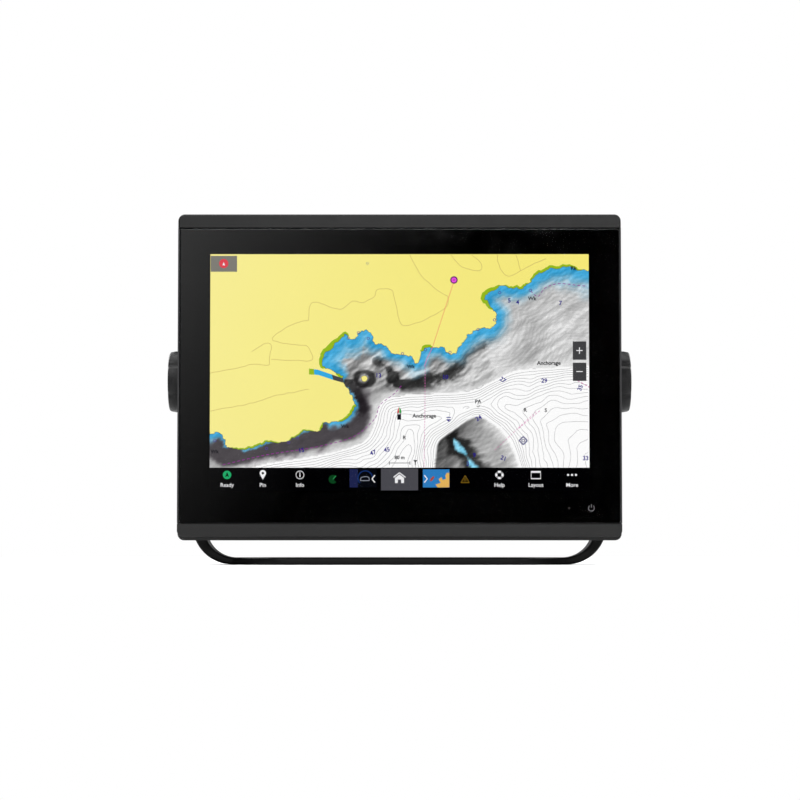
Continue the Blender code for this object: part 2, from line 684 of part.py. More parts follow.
def bail_bracket():
    left, right = half_bail(-1), half_bail(1)
    rings = list(reversed(left))[:-1] + right
    bail = skin("bail_bracket", rings, BAIL)
    for i, (x, y) in enumerate(BAIL_HOLES):
        turn = [2 * math.pi * step / SCREW_ROUND for step in range(SCREW_ROUND)]
        edge = [(x + BAIL_HOLE * math.cos(a), y + BAIL_HOLE * math.sin(a)) for a in turn]
        cut(bail, skin(f"bail_screw_hole_{i + 1}", [[(px, py, z) for px, py in edge] for z in both(FAR)]))
    for side in (-1, 1):
        label = "left" if side < 0 else "right"
        x = sorted((side * (ARM_INSIDE - SPARE), side * (ARM_OUTSIDE + SPARE)))
        slot = STUD + 0.0008
        cut(bail, rod(f"{label}_slot_end", "X", (0, AXIS_HEIGHT), x, slot))
        cut(bail, block(f"{label}_slot", x, both(slot), (AXIS_HEIGHT, AXIS_HEIGHT + 0.03)))


def main():
    start_clean()
    bail_bracket()
    axis = empty("tilt_axis", (0, 0, AXIS_HEIGHT))
    display = empty("display_datum", (0, 0, -TILT), axis)
    front_frame(display)
    front_glass(display)
    trim("top_trim", GLASS_HIGH + TRIM_GAP, TOP, HOOK_ROWS["top"], display)
    trim("bottom_trim", GLASS_LOW - TRIM_GAP, BOTTOM, HOOK_ROWS["bottom"], display)
    screen_module(display)
    chassis(display)
    electronics(display)
    rear_cover(display)
    heat_sink(display)
    sockets(display)
    card_bay(display)
    for side in (-1, 1):
        knob_set(side, axis)


main()
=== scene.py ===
# %% [markdown]
# # A chartplotter display on its bail
# The solid parts come in as a fixed frame. This lesson gives them their looks: it rebuilds the shells,
# knobs and bracket with soft edges, draws a lit chart from thin layers, and gives every surface a
# finish worked out by nodes. Nothing here moves or resizes a solid part.

# %% Bring in the solid parts
import json
import math

import bmesh
import bpy
import numpy as np
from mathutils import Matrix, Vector, noise


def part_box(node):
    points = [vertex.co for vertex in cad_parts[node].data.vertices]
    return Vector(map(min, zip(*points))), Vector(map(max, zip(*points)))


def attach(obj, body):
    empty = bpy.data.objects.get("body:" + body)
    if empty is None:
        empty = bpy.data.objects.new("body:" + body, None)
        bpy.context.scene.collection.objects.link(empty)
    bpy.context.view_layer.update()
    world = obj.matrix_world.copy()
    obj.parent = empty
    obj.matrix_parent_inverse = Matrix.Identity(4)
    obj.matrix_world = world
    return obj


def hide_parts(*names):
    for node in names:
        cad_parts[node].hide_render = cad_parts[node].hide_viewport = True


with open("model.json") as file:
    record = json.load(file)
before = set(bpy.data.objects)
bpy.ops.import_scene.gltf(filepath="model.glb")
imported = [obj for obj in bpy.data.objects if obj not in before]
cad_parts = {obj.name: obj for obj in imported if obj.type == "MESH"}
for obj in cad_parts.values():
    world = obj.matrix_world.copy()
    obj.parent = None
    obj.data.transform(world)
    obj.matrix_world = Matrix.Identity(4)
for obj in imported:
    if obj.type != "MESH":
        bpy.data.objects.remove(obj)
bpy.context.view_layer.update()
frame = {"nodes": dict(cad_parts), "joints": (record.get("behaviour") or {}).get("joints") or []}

nodes = frame["nodes"]
AXIS = next(j for j in frame["joints"] if j["name"] == "tilt")["pos_m"][2]
TILT = 0.0027
DATUM = AXIS - TILT
print(f"{len(nodes)} solid parts, tilt axis {AXIS * 1000:.1f} mm above the foot")

# %% [markdown]
# ## Finishes as sums
# A finish is a small calculation over the surface. Wiring it by hand hides the sum, so a Wire wraps a
# socket and lets plain Python write it: `1 - mask` adds the Math node that it needs. Any other node
# comes from Finish.node, which sets the node up first and then fills its sockets.


# %% A socket that can be used in sums
class Wire:
    def __init__(self, finish, socket):
        self.finish, self.socket = finish, socket

    def _maths(self, operation, first, second):
        return self.finish.node("ShaderNodeMath", {"operation": operation}, {0: first, 1: second})

    def __add__(self, other):
        return self._maths("ADD", self, other)

    def __sub__(self, other):
        return self._maths("SUBTRACT", self, other)

    def __mul__(self, other):
        return self._maths("MULTIPLY", self, other)

    def __rsub__(self, other):
        return self._maths("SUBTRACT", other, self)

    __radd__, __rmul__ = __add__, __mul__

    def at_least(self, low):
        return self._maths("MAXIMUM", self, low)

    def between(self, low, high):
        """0 below low, 1 above high, and smooth on the way."""
        sockets = {0: self, 1: low, 2: high}
        return self.finish.node("ShaderNodeMapRange", {"interpolation_type": "SMOOTHSTEP"}, sockets)


# %% A material with named sockets and one way to add nodes
class Finish:
    def __init__(self, name, **plain):
        self.material = bpy.data.materials.new(name)
        self.material.use_nodes = True
        self.tree = self.material.node_tree
        self.shader = self.tree.nodes["Principled BSDF"]
        for socket, value in plain.items():
            self.shader.inputs[socket.replace("_", " ")].default_value = value

    def put(self, socket, value):
        if isinstance(value, Wire):
            self.tree.links.new(value.socket, socket)
        else:
            socket.default_value = value

    def node(self, kind, settings=None, sockets=None, out=0):
        made = self.tree.nodes.new(kind)
        for key, value in (settings or {}).items():
            setattr(made, key, value)
        for key, value in (sockets or {}).items():
            self.put(made.inputs[key], value)
        return Wire(self, made.outputs[out])

    def feed(self, socket, value):
        self.put(self.shader.inputs[socket], value)

    def place(self):
        return self.node("ShaderNodeTexCoord", out="Object")

    def speckle(self, size, detail=2.0, stretch=(1, 1, 1), moved=(0, 0, 0)):
        """Soft noise whose features are about size metres across."""
        sockets = {0: self.place(), 1: stretch, 2: moved}
        where = self.node("ShaderNodeVectorMath", {"operation": "MULTIPLY_ADD"}, sockets)
        return self.node("ShaderNodeTexNoise", sockets={"Vector": where, "Scale": 1 / size, "Detail": detail})

    def mix(self, factor, one, other):
        sockets = {0: factor, 6: one, 7: other}
        return self.node("ShaderNodeMix", {"data_type": "RGBA"}, sockets, out=2)

    def brighten(self, colour, factor):
        plain = colour if isinstance(colour, Wire) else colour[:3]
        return self.node("ShaderNodeVectorMath", {"operation": "SCALE"}, {0: plain, "Scale": factor})

    def raise_by(self, height, distance, strength=1.0):
        sockets = {"Height": height, "Distance": distance, "Strength": strength}
        self.feed("Normal", self.node("ShaderNodeBump", sockets=sockets))


def shade(colour, factor):
    return (*[channel * factor for channel in colour[:3]], 1.0)


# %% [markdown]
# ## Moulded plastic
# The shells, trims, knobs and bail are injection moulded. The tool is spark-eroded, so the skin has a
# fine even grain, and the gloss drifts a little where the melt cooled at different speeds. A uniform
# grey looks like a screen mock-up; grain in the bump and drift in the roughness make it read as
# plastic.


# %% Moulded plastic
def moulded(name, colour, roughness, grain=0.00035, depth=0.00003, shine=0.35):
    finish = Finish(name, Specular_IOR_Level=shine)
    fine, broad = finish.speckle(grain, 3.0), finish.speckle(0.035, 3.0)
    haze = finish.speckle(0.004, 4.0).between(0.45, 0.75)
    tone = finish.mix(0.7 * broad + 0.3 * haze, shade(colour, 0.86), shade(colour, 1.18))
    finish.feed("Base Color", tone)
    finish.feed("Roughness", roughness - 0.07 + 0.10 * broad + 0.05 * haze)
    finish.raise_by(fine, depth, 0.35)
    return finish.material


CASE = moulded("case plastic", (0.010, 0.010, 0.011), 0.46)
TRIM = moulded("trim plastic", (0.0095, 0.0095, 0.0095), 0.40, depth=0.000015, shine=0.15)
KNOB = moulded("knob plastic", (0.0068, 0.0068, 0.0072), 0.48, shine=0.18)
BAIL = moulded("bail plastic", (0.0032, 0.0032, 0.0032), 0.44, shine=0.09)
SOCKET = moulded("socket plastic", (0.010, 0.010, 0.011), 0.38)
RUBBER = moulded("seal rubber", (0.012, 0.012, 0.012), 0.72, 0.0006, 0.00005)
print("six moulded finishes")

# %% [markdown]
# ## Metals, boards and small parts
# Turned and pressed metal is never even: a brush leaves long fine streaks, so its noise is stretched
# along one axis. A circuit board is a green lacquer over copper, whose tracks show as faint bands.


# %% Metal and the other inner finishes
def metal(name, colour, roughness, stretch=(1, 1, 12), streak=0.0006):
    finish = Finish(name, Metallic=1.0)
    lines, cloud = finish.speckle(streak, 3.0, stretch), finish.speckle(0.012, 2.0)
    finish.feed("Base Color", finish.mix(lines, shade(colour, 0.82), shade(colour, 1.06)))
    finish.feed("Roughness", roughness - 0.08 + 0.12 * lines + 0.06 * cloud)
    finish.raise_by(lines, 0.00001, 0.3)
    return finish.material


def layered(name, low, high, roughness, size, spread=(0.42, 0.58)):
    """Two tones in patches: lacquered boards, pads, films and ceramics."""
    finish = Finish(name)
    patches, fine = finish.speckle(size, 2.0).between(*spread), finish.speckle(size / 8, 3.0)
    finish.feed("Base Color", finish.mix(patches, (*low, 1), (*high, 1)))
    finish.feed("Roughness", roughness - 0.05 + 0.10 * fine)
    finish.raise_by(patches + 0.4 * fine, 0.00004, 0.4)
    return finish.material


STEEL = metal("stainless screws", (0.58, 0.58, 0.60), 0.30, (1, 1, 1))
SHEET = metal("plated sheet steel", (0.60, 0.61, 0.62), 0.35)
ALLOY = metal("cast alloy", (0.64, 0.65, 0.67), 0.42, (1, 1, 1), 0.0012)
BRASS = metal("turned brass", (0.70, 0.50, 0.22), 0.30, (1, 8, 8))
GOLD = metal("gold contacts", (0.88, 0.62, 0.22), 0.22, (1, 1, 1))
BOARD = layered("green circuit board", (0.006, 0.085, 0.030), (0.012, 0.150, 0.052), 0.32, 0.003)
PAD = layered("thermal pad", (0.50, 0.22, 0.26), (0.62, 0.30, 0.33), 0.80, 0.002, (0.3, 0.7))
CERAMIC = layered("antenna ceramic", (0.55, 0.48, 0.35), (0.66, 0.60, 0.46), 0.55, 0.002, (0.3, 0.7))
FILM = layered("amber flex film", (0.42, 0.15, 0.02), (0.60, 0.26, 0.04), 0.28, 0.0015)
GUIDE = layered("light guide", (0.78, 0.81, 0.83), (0.86, 0.88, 0.90), 0.25, 0.003, (0.3, 0.7))
PANEL = layered("panel glass", (0.010, 0.011, 0.013), (0.014, 0.015, 0.018), 0.14, 0.010, (0.3, 0.7))

# %% [markdown]
# The heat sink is a black anodised casting, which is metal under a dark porous skin, so it is rougher
# than bare metal and a little browner in patches.

# %% Black anodised alloy
anodised = Finish("black anodised alloy", Metallic=0.6)
cast_grain, cast_cloud = anodised.speckle(0.0007, 4.0), anodised.speckle(0.020, 3.0)
anodised.feed("Base Color", anodised.mix(cast_cloud, (0.018, 0.018, 0.019, 1), (0.034, 0.033, 0.032, 1)))
anodised.feed("Roughness", 0.42 + 0.16 * cast_grain)
anodised.raise_by(cast_grain, 0.00006, 0.5)
ANODISED = anodised.material

# %% [markdown]
# ## Making meshes
# Each shell is a loft: rings of points, all with the same count, joined in order. A ring is a
# rectangle with round corners or a circle. Holes are cut by a hidden tool whose result is kept, and a
# narrow bevel then breaks every sharp edge, as a mould does.


# %% Rings
def all_round(steps):
    """Angles that go once round."""
    return [2 * math.pi * step / steps for step in range(steps)]


def rounded(x, z, radius, y, steps=10):
    """A rectangle with round corners. z is measured from the display's datum."""
    ring = []
    corners = ((x[1], z[1], -1, -1), (x[0], z[1], 1, -1), (x[0], z[0], 1, 1), (x[1], z[0], -1, 1))
    for quarter, (cx, cz, inward_x, inward_z) in enumerate(corners):
        for step in range(steps + 1):
            angle = math.radians(90 * quarter + 90 * step / steps)
            px = cx + inward_x * radius + radius * math.cos(angle)
            pz = cz + inward_z * radius + radius * math.sin(angle)
            ring.append((px, y, pz + DATUM))
    return ring


def circle(axis, centre, along, radius, steps=64):
    """A ring round a line parallel to X or Y. centre is the other two coordinates, from the datum."""
    ring = []
    for angle in all_round(steps):
        one, two = radius * math.cos(angle), radius * math.sin(angle)
        first = along if axis == "X" else centre[0] + one
        second = centre[0] + one if axis == "X" else along
        ring.append((first, second, centre[1] + two + DATUM))
    return ring


# %% Lofts, tools and pieces
def shape(name, rings, closed=False):
    mesh = bmesh.new()
    loops = [[mesh.verts.new(point) for point in ring] for ring in rings]
    pairs = list(zip(loops, loops[1:]))
    if closed:
        pairs.append((loops[-1], loops[0]))
    else:
        mesh.faces.new(loops[0])
        mesh.faces.new(loops[-1])
    for one, other in pairs:
        for i in range(len(one)):
            j = (i + 1) % len(one)
            mesh.faces.new((one[i], one[j], other[j], other[i]))
    bmesh.ops.recalc_face_normals(mesh, faces=mesh.faces)
    return object_of(name, mesh)


def object_of(name, mesh):
    data = bpy.data.meshes.new(name)
    mesh.to_mesh(data)
    mesh.free()
    made = bpy.data.objects.new(name, data)
    bpy.context.scene.collection.objects.link(made)
    return made


def settle(made):
    """Works out the piece's modifiers and keeps the result as its mesh."""
    bpy.context.view_layer.update()
    found = made.evaluated_get(bpy.context.evaluated_depsgraph_get())
    data = bpy.data.meshes.new_from_object(found)
    made.modifiers.clear()
    made.data = data


def work(made, operation, *tools):
    for tool in tools:
        step = made.modifiers.new(tool.name, "BOOLEAN")
        step.operation, step.solver, step.object = operation, "EXACT", tool
    settle(made)
    for tool in tools:
        bpy.data.objects.remove(tool)


def finish_piece(made, body, material, stands_for=(), edge=0.0, sharp=35):
    """Breaks the edges, smooths the shading, and says what the piece rides on and stands for."""
    if edge:
        step = made.modifiers.new("broken edges", "BEVEL")
        step.width, step.segments, step.limit_method = edge, 2, "ANGLE"
        step.angle_limit = math.radians(38)
        settle(made)
    if sharp:
        made.data.shade_smooth()
        made.data.set_sharp_from_angle(angle=math.radians(sharp))
        # large flat faces keep their own direction, so a soft edge doesn't tint them
        made.modifiers.new("flat faces", "WEIGHTED_NORMAL").keep_sharp = True
        settle(made)
    made.data.materials.clear()
    made.data.materials.append(material)
    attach(made, body)
    if stands_for:
        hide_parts(*stands_for)
    return made


def brick(name, x, y, z):
    """A box to cut with or to join on. z is measured from the display's datum."""
    corners = ((y[0], z[0]), (y[1], z[0]), (y[1], z[1]), (y[0], z[1]))
    return shape(name, [[(end, cy, cz + DATUM) for cy, cz in corners] for end in x])


def rod(name, axis, centre, along, radius, steps=64):
    return shape(name, [circle(axis, centre, end, radius, steps) for end in along])


def turned(name, axis, centre, profile, steps=64, closed=False):
    return shape(name, [circle(axis, centre, along, radius, steps) for along, radius in profile], closed)


def fillet(start, middle, end, steps=5):
    """Points on a soft corner, from start to end, drawn towards middle."""
    curve = []
    for step in range(steps + 1):
        t = step / steps
        near, bent, far = (1 - t) ** 2, 2 * t * (1 - t), t * t
        curve.append([near * a + bent * b + far * c for a, b, c in zip(start, middle, end)])
    return curve


def box_of(node):
    """A solid part's limits along X, Y and Z, with Z from the display's datum."""
    low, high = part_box(node)
    return (low.x, high.x), (low.y, high.y), (low.z - DATUM, high.z - DATUM)


# %% [markdown]
# ## The bail
# The bail is one moulding: a flat foot whose ends turn up through a generous bend into two arms, each
# with an eye that holds the knob's stud. It is drawn as one sweep of flat sections from the middle of
# the foot to the top of each eye, and every section has round corners, so no edge is sharp to the hand.

# %% Sizes of the bail
bail_x, bail_y, bail_z = box_of("bail_bracket")
ARM_OUTSIDE = bail_x[1]
ARM_THICKNESS, FOOT_THICKNESS = 0.0086, 0.0049
ARM_INSIDE = ARM_OUTSIDE - ARM_THICKNESS
ARM_FRONT, ARM_BACK = -0.0060, 0.0200
TAPER_START, TAPER_LENGTH, FRONT_TAPER, BACK_TAPER = 0.082, 0.036, 0.0290, 0.0150
BEND_INSIDE, BEND_OUTSIDE, OUTER_BEND_TOP = 0.0212, 0.0280, 0.0280
RAMP_START, RAMP_SLOPE = 0.1248, 0.58
EYE = bail_z[1] - TILT
FOOT_HALF_DEPTH = bail_y[1]
STUD_SLOT = 0.0048
HOLE_X, HOLE_Y = 0.070, 0.022
HOLE, COUNTERSINK, COUNTERSINK_DEPTH = 0.0027, 0.0052, 0.0022
print(f"arms {ARM_THICKNESS * 1000:.1f} mm thick, eye {EYE * 1000:.1f} mm round the axis")


# %% The path of the bail
def ease(t):
    t = min(max(t, 0.0), 1.0)
    return t * t * (3 - 2 * t)


def foot_depth(x):
    """Front and back of the foot, which is narrower towards the arms."""
    narrow = ease((x - TAPER_START) / TAPER_LENGTH)
    return -FOOT_HALF_DEPTH + narrow * FRONT_TAPER, FOOT_HALF_DEPTH - narrow * BACK_TAPER


def bend_outside(x):
    """Height of the bend's outer side: a straight ramp, then an arc that ends straight up."""
    reach = x - (ARM_OUTSIDE - BEND_OUTSIDE)
    arc = OUTER_BEND_TOP - math.sqrt(max(BEND_OUTSIDE**2 - reach**2, 0.0))
    return max(RAMP_SLOPE * (x - RAMP_START), arc, 0.0)


def outer_point(turn, centre):
    """Where a ray from the bend's inner centre, turned from straight down, meets the outside."""
    near, far = BEND_INSIDE, 0.060
    for _ in range(40):
        middle = 0.5 * (near + far)
        x, z = centre[0] + middle * math.sin(turn), centre[1] - middle * math.cos(turn)
        if x < ARM_OUTSIDE and z > bend_outside(x):
            near = middle
        else:
            far = middle
    return centre[0] + near * math.sin(turn), centre[1] - near * math.cos(turn)


def half_bail(side):
    """Stations from the foot's middle to the top of an arm: inner point, outer point, front, back."""
    bend_x, bend_z = ARM_INSIDE - BEND_INSIDE, FOOT_THICKNESS + BEND_INSIDE
    stations = []
    for step in range(25):
        x = bend_x * step / 24
        stations.append(((x, FOOT_THICKNESS), (x, 0.0), *foot_depth(x)))
    for step in range(1, 37):
        angle = math.radians(90 * step / 36)
        inner = (bend_x + BEND_INSIDE * math.sin(angle), bend_z - BEND_INSIDE * math.cos(angle))
        outer = outer_point(angle, (bend_x, bend_z))
        stations.append((inner, outer, *foot_depth(outer[0])))
    for step in range(1, 13):
        t = step / 12
        z = bend_z + (AXIS - bend_z) * t
        front, back = ARM_FRONT - (EYE + ARM_FRONT) * ease(t), ARM_BACK - (ARM_BACK - EYE) * ease(t)
        stations.append(((ARM_INSIDE, z), (ARM_OUTSIDE, z), front, back))
    for step in range(1, 24):
        angle = math.radians(90 * step / 24)
        z, half = AXIS + EYE * math.sin(angle), EYE * math.cos(angle)
        stations.append(((ARM_INSIDE, z), (ARM_OUTSIDE, z), -half, half))
    return [((side * a[0], a[1]), (side * b[0], b[1]), front, back) for a, b, front, back in stations]


def bail_ring(inner, outer, front, back, radius=0.0016, steps=4):
    """A flat section with round corners between an inner and an outer point."""
    thickness = math.dist(inner, outer)
    radius = min(radius, 0.45 * thickness, 0.45 * (back - front))
    ring = []
    corners = ((1, 1, 0), (0, 1, 90), (0, 0, 180), (1, 0, 270))
    for far, rear, start in corners:
        for step in range(steps + 1):
            angle = math.radians(start + 90 * step / steps)
            through = far * thickness + (radius if not far else -radius) + radius * math.cos(angle)
            y = (back - radius if rear else front + radius) + radius * math.sin(angle)
            share = through / thickness
            x, z = (a + (b - a) * share for a, b in zip(inner, outer))
            ring.append((x, y, z))
    return ring


# %% Make the bail
left, right = half_bail(-1), half_bail(1)
bail = shape("bail", [bail_ring(*station) for station in reversed(left[1:])] + [bail_ring(*s) for s in right])
tools = []
levels = ((HOLE, -0.01), (HOLE, FOOT_THICKNESS - COUNTERSINK_DEPTH), (COUNTERSINK, FOOT_THICKNESS + 0.0003))
for x in (-HOLE_X, HOLE_X):
    for y in (-HOLE_Y, HOLE_Y):
        rings = [[(x + r * math.cos(a), y + r * math.sin(a), z) for a in all_round(40)] for r, z in levels]
        tools.append(shape("screw hole", rings))
for side in (-1, 1):
    across = sorted((side * (ARM_INSIDE - 0.002), side * (ARM_OUTSIDE + 0.002)))
    tools.append(rod("slot end", "X", (0, TILT), across, STUD_SLOT))
    tools.append(brick("slot", across, (-STUD_SLOT, STUD_SLOT), (TILT, 0.03)))
work(bail, "DIFFERENCE", *tools)
finish_piece(bail, "bail", BAIL, ["bail_bracket"], edge=0.0003)
print("bail:", len(bail.data.polygons), "faces")

# %% [markdown]
# ## The knobs
# Each knob is turned with wet hands, so its rim has six grip grooves. The flank leans in slightly, a
# soft shoulder turns the corner, and the outer face is almost flat with a dished middle. A turned
# profile gives the body, and a wave round the rim that is sharpened by a power gives narrow grooves.


# %% A knob
def grip_ring(along, radius, depth, steps=240):
    """A ring with six soft grooves, the first one 30 degrees above the level."""
    ring = []
    for angle in all_round(steps):
        wave = 0.5 - 0.5 * math.cos(6 * angle)
        reach = radius - depth * (0.85 * wave**12 + 0.15 * wave)
        ring.append((along, reach * math.cos(angle), reach * math.sin(angle) + AXIS))
    return ring


def knob(side, label):
    face = min(abs(x) for x in box_of(f"{label}_knob")[0])
    reach, bore, bore_end, groove = 0.1620, 0.0043, 0.1570, 0.0014
    outline = [(face, 0.0184, 0.0), (face + 0.0004, 0.0190, 0.0003), (face + 0.0016, 0.0205, 0.6 * groove)]
    flank = ((face + 0.0030, 0.0217), (reach - 0.0049, 0.0218), (reach - 0.0032, 0.0215))
    outline += [(along, radius, groove) for along, radius in flank]
    outline += fillet((reach - 0.0017, 0.0212, groove), (reach - 0.0005, 0.0210, groove),
                      (reach - 0.0003, 0.0180, 0.5 * groove), 8)
    outline += [(reach - 0.0002, 0.0150, 0.0), (reach - 0.0001, 0.0118, 0.0), (reach, 0.0104, 0.0)]
    outline += [(reach - 0.0002, 0.0097, 0.0), (reach - 0.0010, 0.0090, 0.0), (reach - 0.0012, 0.0040, 0.0)]
    rings = [grip_ring(side * bore_end, bore, 0), grip_ring(side * face, bore, 0)]
    rings += [grip_ring(side * along, radius, depth) for along, radius, depth in outline]
    made = shape(f"{label}_grip_knob", rings)
    return finish_piece(made, f"{label}_knob", KNOB, [f"{label}_knob"], sharp=50)


for side, label in ((-1, "left"), (1, "right")):
    made = knob(side, label)
    nodes[f"{label}_insert"].data.materials[0] = BRASS
    nodes[f"{label}_stud"].data.materials[0] = STEEL
    nodes[f"{label}_knob_washer"].data.materials[0] = STEEL
    nodes[f"{label}_pivot_pad"].data.materials[0] = RUBBER
    print(label, "knob:", len(made.data.polygons), "faces")

# %% [markdown]
# ## The back of the case
# The rear cover is one deep moulding with a drafted wall and a soft shoulder, so it leaves its mould
# and sheds water. It is a loft from the rim to the flat back. The bosses for the knobs, the window for
# the heat sink, the sockets' holes and the card door's recess are then joined on or cut out.

# %% Levels of the rear cover
cover_x, cover_y, _ = box_of("rear_cover")
RIM_FRONT, CASE_BACK, RIM_BACK = cover_y[0], cover_y[1], -0.0240
WALL = 0.0026
SOCKET_ROW = -0.0500
BOSS_FACE, BOSS, STUD_HOLE, RIM_HOLE = 0.1337, 0.0165, 0.0068, 0.0019
DOOR_LEFT, DOOR_RIGHT = 0.0766, 0.1114
socket_names = ("power", "data_bus", "network", "sonar", "video")


def cover_outline(level):
    """The cover's half width, low, high and corner radius, at a share of the way up its shoulder."""
    waist, face = (0.1298, -0.0828, 0.0908, 0.016), (0.1180, -0.0720, 0.0800, 0.013)
    return [a + (b - a) * level for a, b in zip(waist, face)]


def cover_ring(half, low, high, radius, y):
    return rounded((-half, half), (low, high), radius, y)


# %% Make the rear cover
shoulder = fillet((0.0, 0.0055), (0.10, 0.0086), (0.30, 0.0110))
shoulder += fillet((0.75, 0.0155), (0.93, 0.0176), (1.06, CASE_BACK))
inside = ((cover_outline(1.0), CASE_BACK - WALL), (cover_outline(0.0), 0.0066),
          ((0.1310, -0.0840, 0.0920, 0.016), RIM_FRONT))
rings = []
for (half, low, high, radius), y in inside:
    rings.append(cover_ring(half - WALL, low + WALL, high - WALL, radius - WALL, y))
rim = (cover_x[1], -0.0922, 0.1062, 0.0097)
for outline, y in (
    (rim, RIM_FRONT), (rim, RIM_BACK), ((0.1326, -0.0856, 0.0936, 0.0176), RIM_BACK),
    ((0.1314, -0.0844, 0.0924, 0.0164), -0.0236), ((0.1309, -0.0839, 0.0919, 0.0160), -0.0222),
):
    rings.append(cover_ring(*outline, y))
rings += [cover_ring(*cover_outline(level), y) for level, y in shoulder]
cover = shape("rear_shell", rings)
joins = [brick("door well", (0.0740, 0.1140), (0.0060, 0.0160), (0.0280, 0.0680))]
for side in (-1, 1):
    profile = [(0.1180, BOSS), (BOSS_FACE - 0.0006, BOSS), (BOSS_FACE, BOSS - 0.0006)]
    joins.append(turned("boss", "X", (0, TILT), [(side * a, r) for a, r in profile]))
# stiffening ribs beside the heat sink
for x in (-0.1060, -0.0980, -0.0900, -0.0820, -0.0740):
    joins.append(brick("rib", (x - 0.0008, x + 0.0008), (0.0160, CASE_BACK + 0.0008), (-0.0100, 0.0650)))
work(cover, "UNION", *joins)
cuts = [
    brick("heat sink window", (-0.0600, 0.0600), (0, 0.05), (-0.0220, 0.0660)),
    brick("door recess", (DOOR_LEFT, DOOR_RIGHT), (0.0144, 0.05), (0.0306, 0.0654)),
    brick("hinge trough", (DOOR_LEFT, DOOR_RIGHT), (0.0138, 0.05), (0.0306, 0.0360)),
    brick("card well", (0.0800, 0.1080), (0.0086, 0.05), (0.0390, 0.0612)),
    brick("reader window", (0.0836, 0.1044), (0, 0.05), (0.0400, 0.0580)),
    brick("thumb notch", (0.0890, 0.0990), (0.0150, 0.05), (0.0650, 0.0675)),
]
for name in socket_names:
    (x0, x1), _, _ = box_of(f"{name}_socket")
    cuts.append(rod("socket hole", "Y", (0.5 * (x0 + x1), SOCKET_ROW), (0, 0.05), 0.5 * (x1 - x0) - 0.0038))
for side in (-1, 1):
    cuts.append(rod("insert hole", "X", (0, TILT), sorted((side * 0.1215, side * 0.15)), STUD_HOLE))
for i in range(8):
    (x0, x1), _, (z0, z1) = box_of(f"case_screw_{i + 1}")
    cuts.append(rod("rim hole", "Y", (0.5 * (x0 + x1), 0.5 * (z0 + z1)), (-0.05, 0), RIM_HOLE))
work(cover, "DIFFERENCE", *cuts)
finish_piece(cover, "display", CASE, ["rear_cover"], edge=0.00035)
print("rear shell:", len(cover.data.polygons), "faces")

# %% [markdown]
# ## Sockets
# A marine socket is a threaded barrel with a ring of gold pins deep inside and a key that stops the
# plug going in the wrong way round. The thread is drawn as close ridges on a turned profile, and the
# pins are their own small turned pieces.

# %% Make the sockets and their pins
PINS = {"power": 4, "data_bus": 5, "network": 8, "sonar": 12, "video": 5}
SPACES = {"power": 0.0062, "data_bus": 0.0056, "network": 0.0068, "sonar": 0.0084, "video": 0.0056}
THREAD_PITCH, THREAD_DEPTH, PIN_CIRCLE = 0.0009, 0.00045, 0.56


def socket_piece(name):
    (x0, x1), (y0, y1), _ = box_of(f"{name}_socket")
    middle, flange = 0.5 * (x0 + x1), 0.5 * (x1 - x0)
    barrel, seat, space = flange - 0.0026, CASE_BACK + 0.0003, SPACES[name]
    profile = [(seat + 0.0006, space), (y1 - 0.0004, space), (y1, space + 0.0004), (y1, barrel - 0.0008)]
    y = y1 - 0.0005
    while y > seat + 0.0036:
        profile += [(y, barrel), (y - 0.45 * THREAD_PITCH, barrel - THREAD_DEPTH)]
        y -= THREAD_PITCH
    profile += [(seat + 0.0026, barrel - 0.0004), (seat + 0.0024, flange - 0.0004), (seat + 0.0020, flange)]
    profile += [(seat, flange), (seat, barrel - 0.0015), (y0, barrel - 0.0015)]
    made = turned(f"{name}_barrel", "Y", (middle, SOCKET_ROW), profile, steps=72)
    key = brick("key", (middle - 0.0008, middle + 0.0008), (seat, y1 - 0.0012),
                (SOCKET_ROW + space - 0.0009, SOCKET_ROW + space + 0.0006))
    work(made, "UNION", key)
    finish_piece(made, "display", SOCKET, [f"{name}_socket"], sharp=30)
    around = PINS[name]
    for i in range(around):
        angle = 2 * math.pi * (i + 0.5) / around + math.pi / 2
        px = middle + PIN_CIRCLE * space * math.cos(angle)
        pz = SOCKET_ROW + PIN_CIRCLE * space * math.sin(angle)
        ends = [(seat + 0.0004, 0.00045), (seat + 0.0050, 0.00045), (seat + 0.0056, 0.00022)]
        pin = turned(f"{name}_pin_{i + 1}", "Y", (px, pz), ends, steps=12)
        finish_piece(pin, "display", GOLD)


for name in socket_names:
    socket_piece(name)
print(sum(PINS.values()), "gold pins in", len(PINS), "sockets")

# %% [markdown]
# ## Heat sink, card door and screws
# The heat sink carries the processor's heat out through the case, so its fins stand in the air. The
# fins taper to round tips, as a casting needs. The card door is a plain flap with grip ridges at the
# thumb's end. Each case screw is a pan head with a six-lobed recess.

# %% Make the heat sink
_, (sink_front, sink_back), _ = box_of("heat_sink")
FINS, FIN, SINK_HALF = 15, 0.0020, 0.0596
TIP = ((0.0003, -0.0007), (0.0005, -0.0002), (0.0008, 0), (0.0012, 0), (0.0015, -0.0002), (0.0017, -0.0007))
root = CASE_BACK - 0.0004
comb = [(SINK_HALF, 0.0130), (-SINK_HALF, 0.0130)]
for i in range(FINS):
    left_edge = -SINK_HALF + i * (2 * SINK_HALF - FIN) / (FINS - 1)
    comb.append((left_edge, root))
    comb += [(left_edge + dx, sink_back + dy) for dx, dy in TIP]
    comb.append((left_edge + FIN, root))
sink = shape("finned_sink", [[(x, y, z + DATUM) for x, y in comb] for z in (-0.0216, 0.0656)])
joins = [brick("flange", (-0.0640, 0.0640), (0.0118, CASE_BACK - WALL - 0.0003), (-0.0260, 0.0700)),
         brick("pedestal", (-0.0220, 0.0220), (sink_front, 0.0125), (0.0060, 0.0420))]
work(sink, "UNION", *joins)
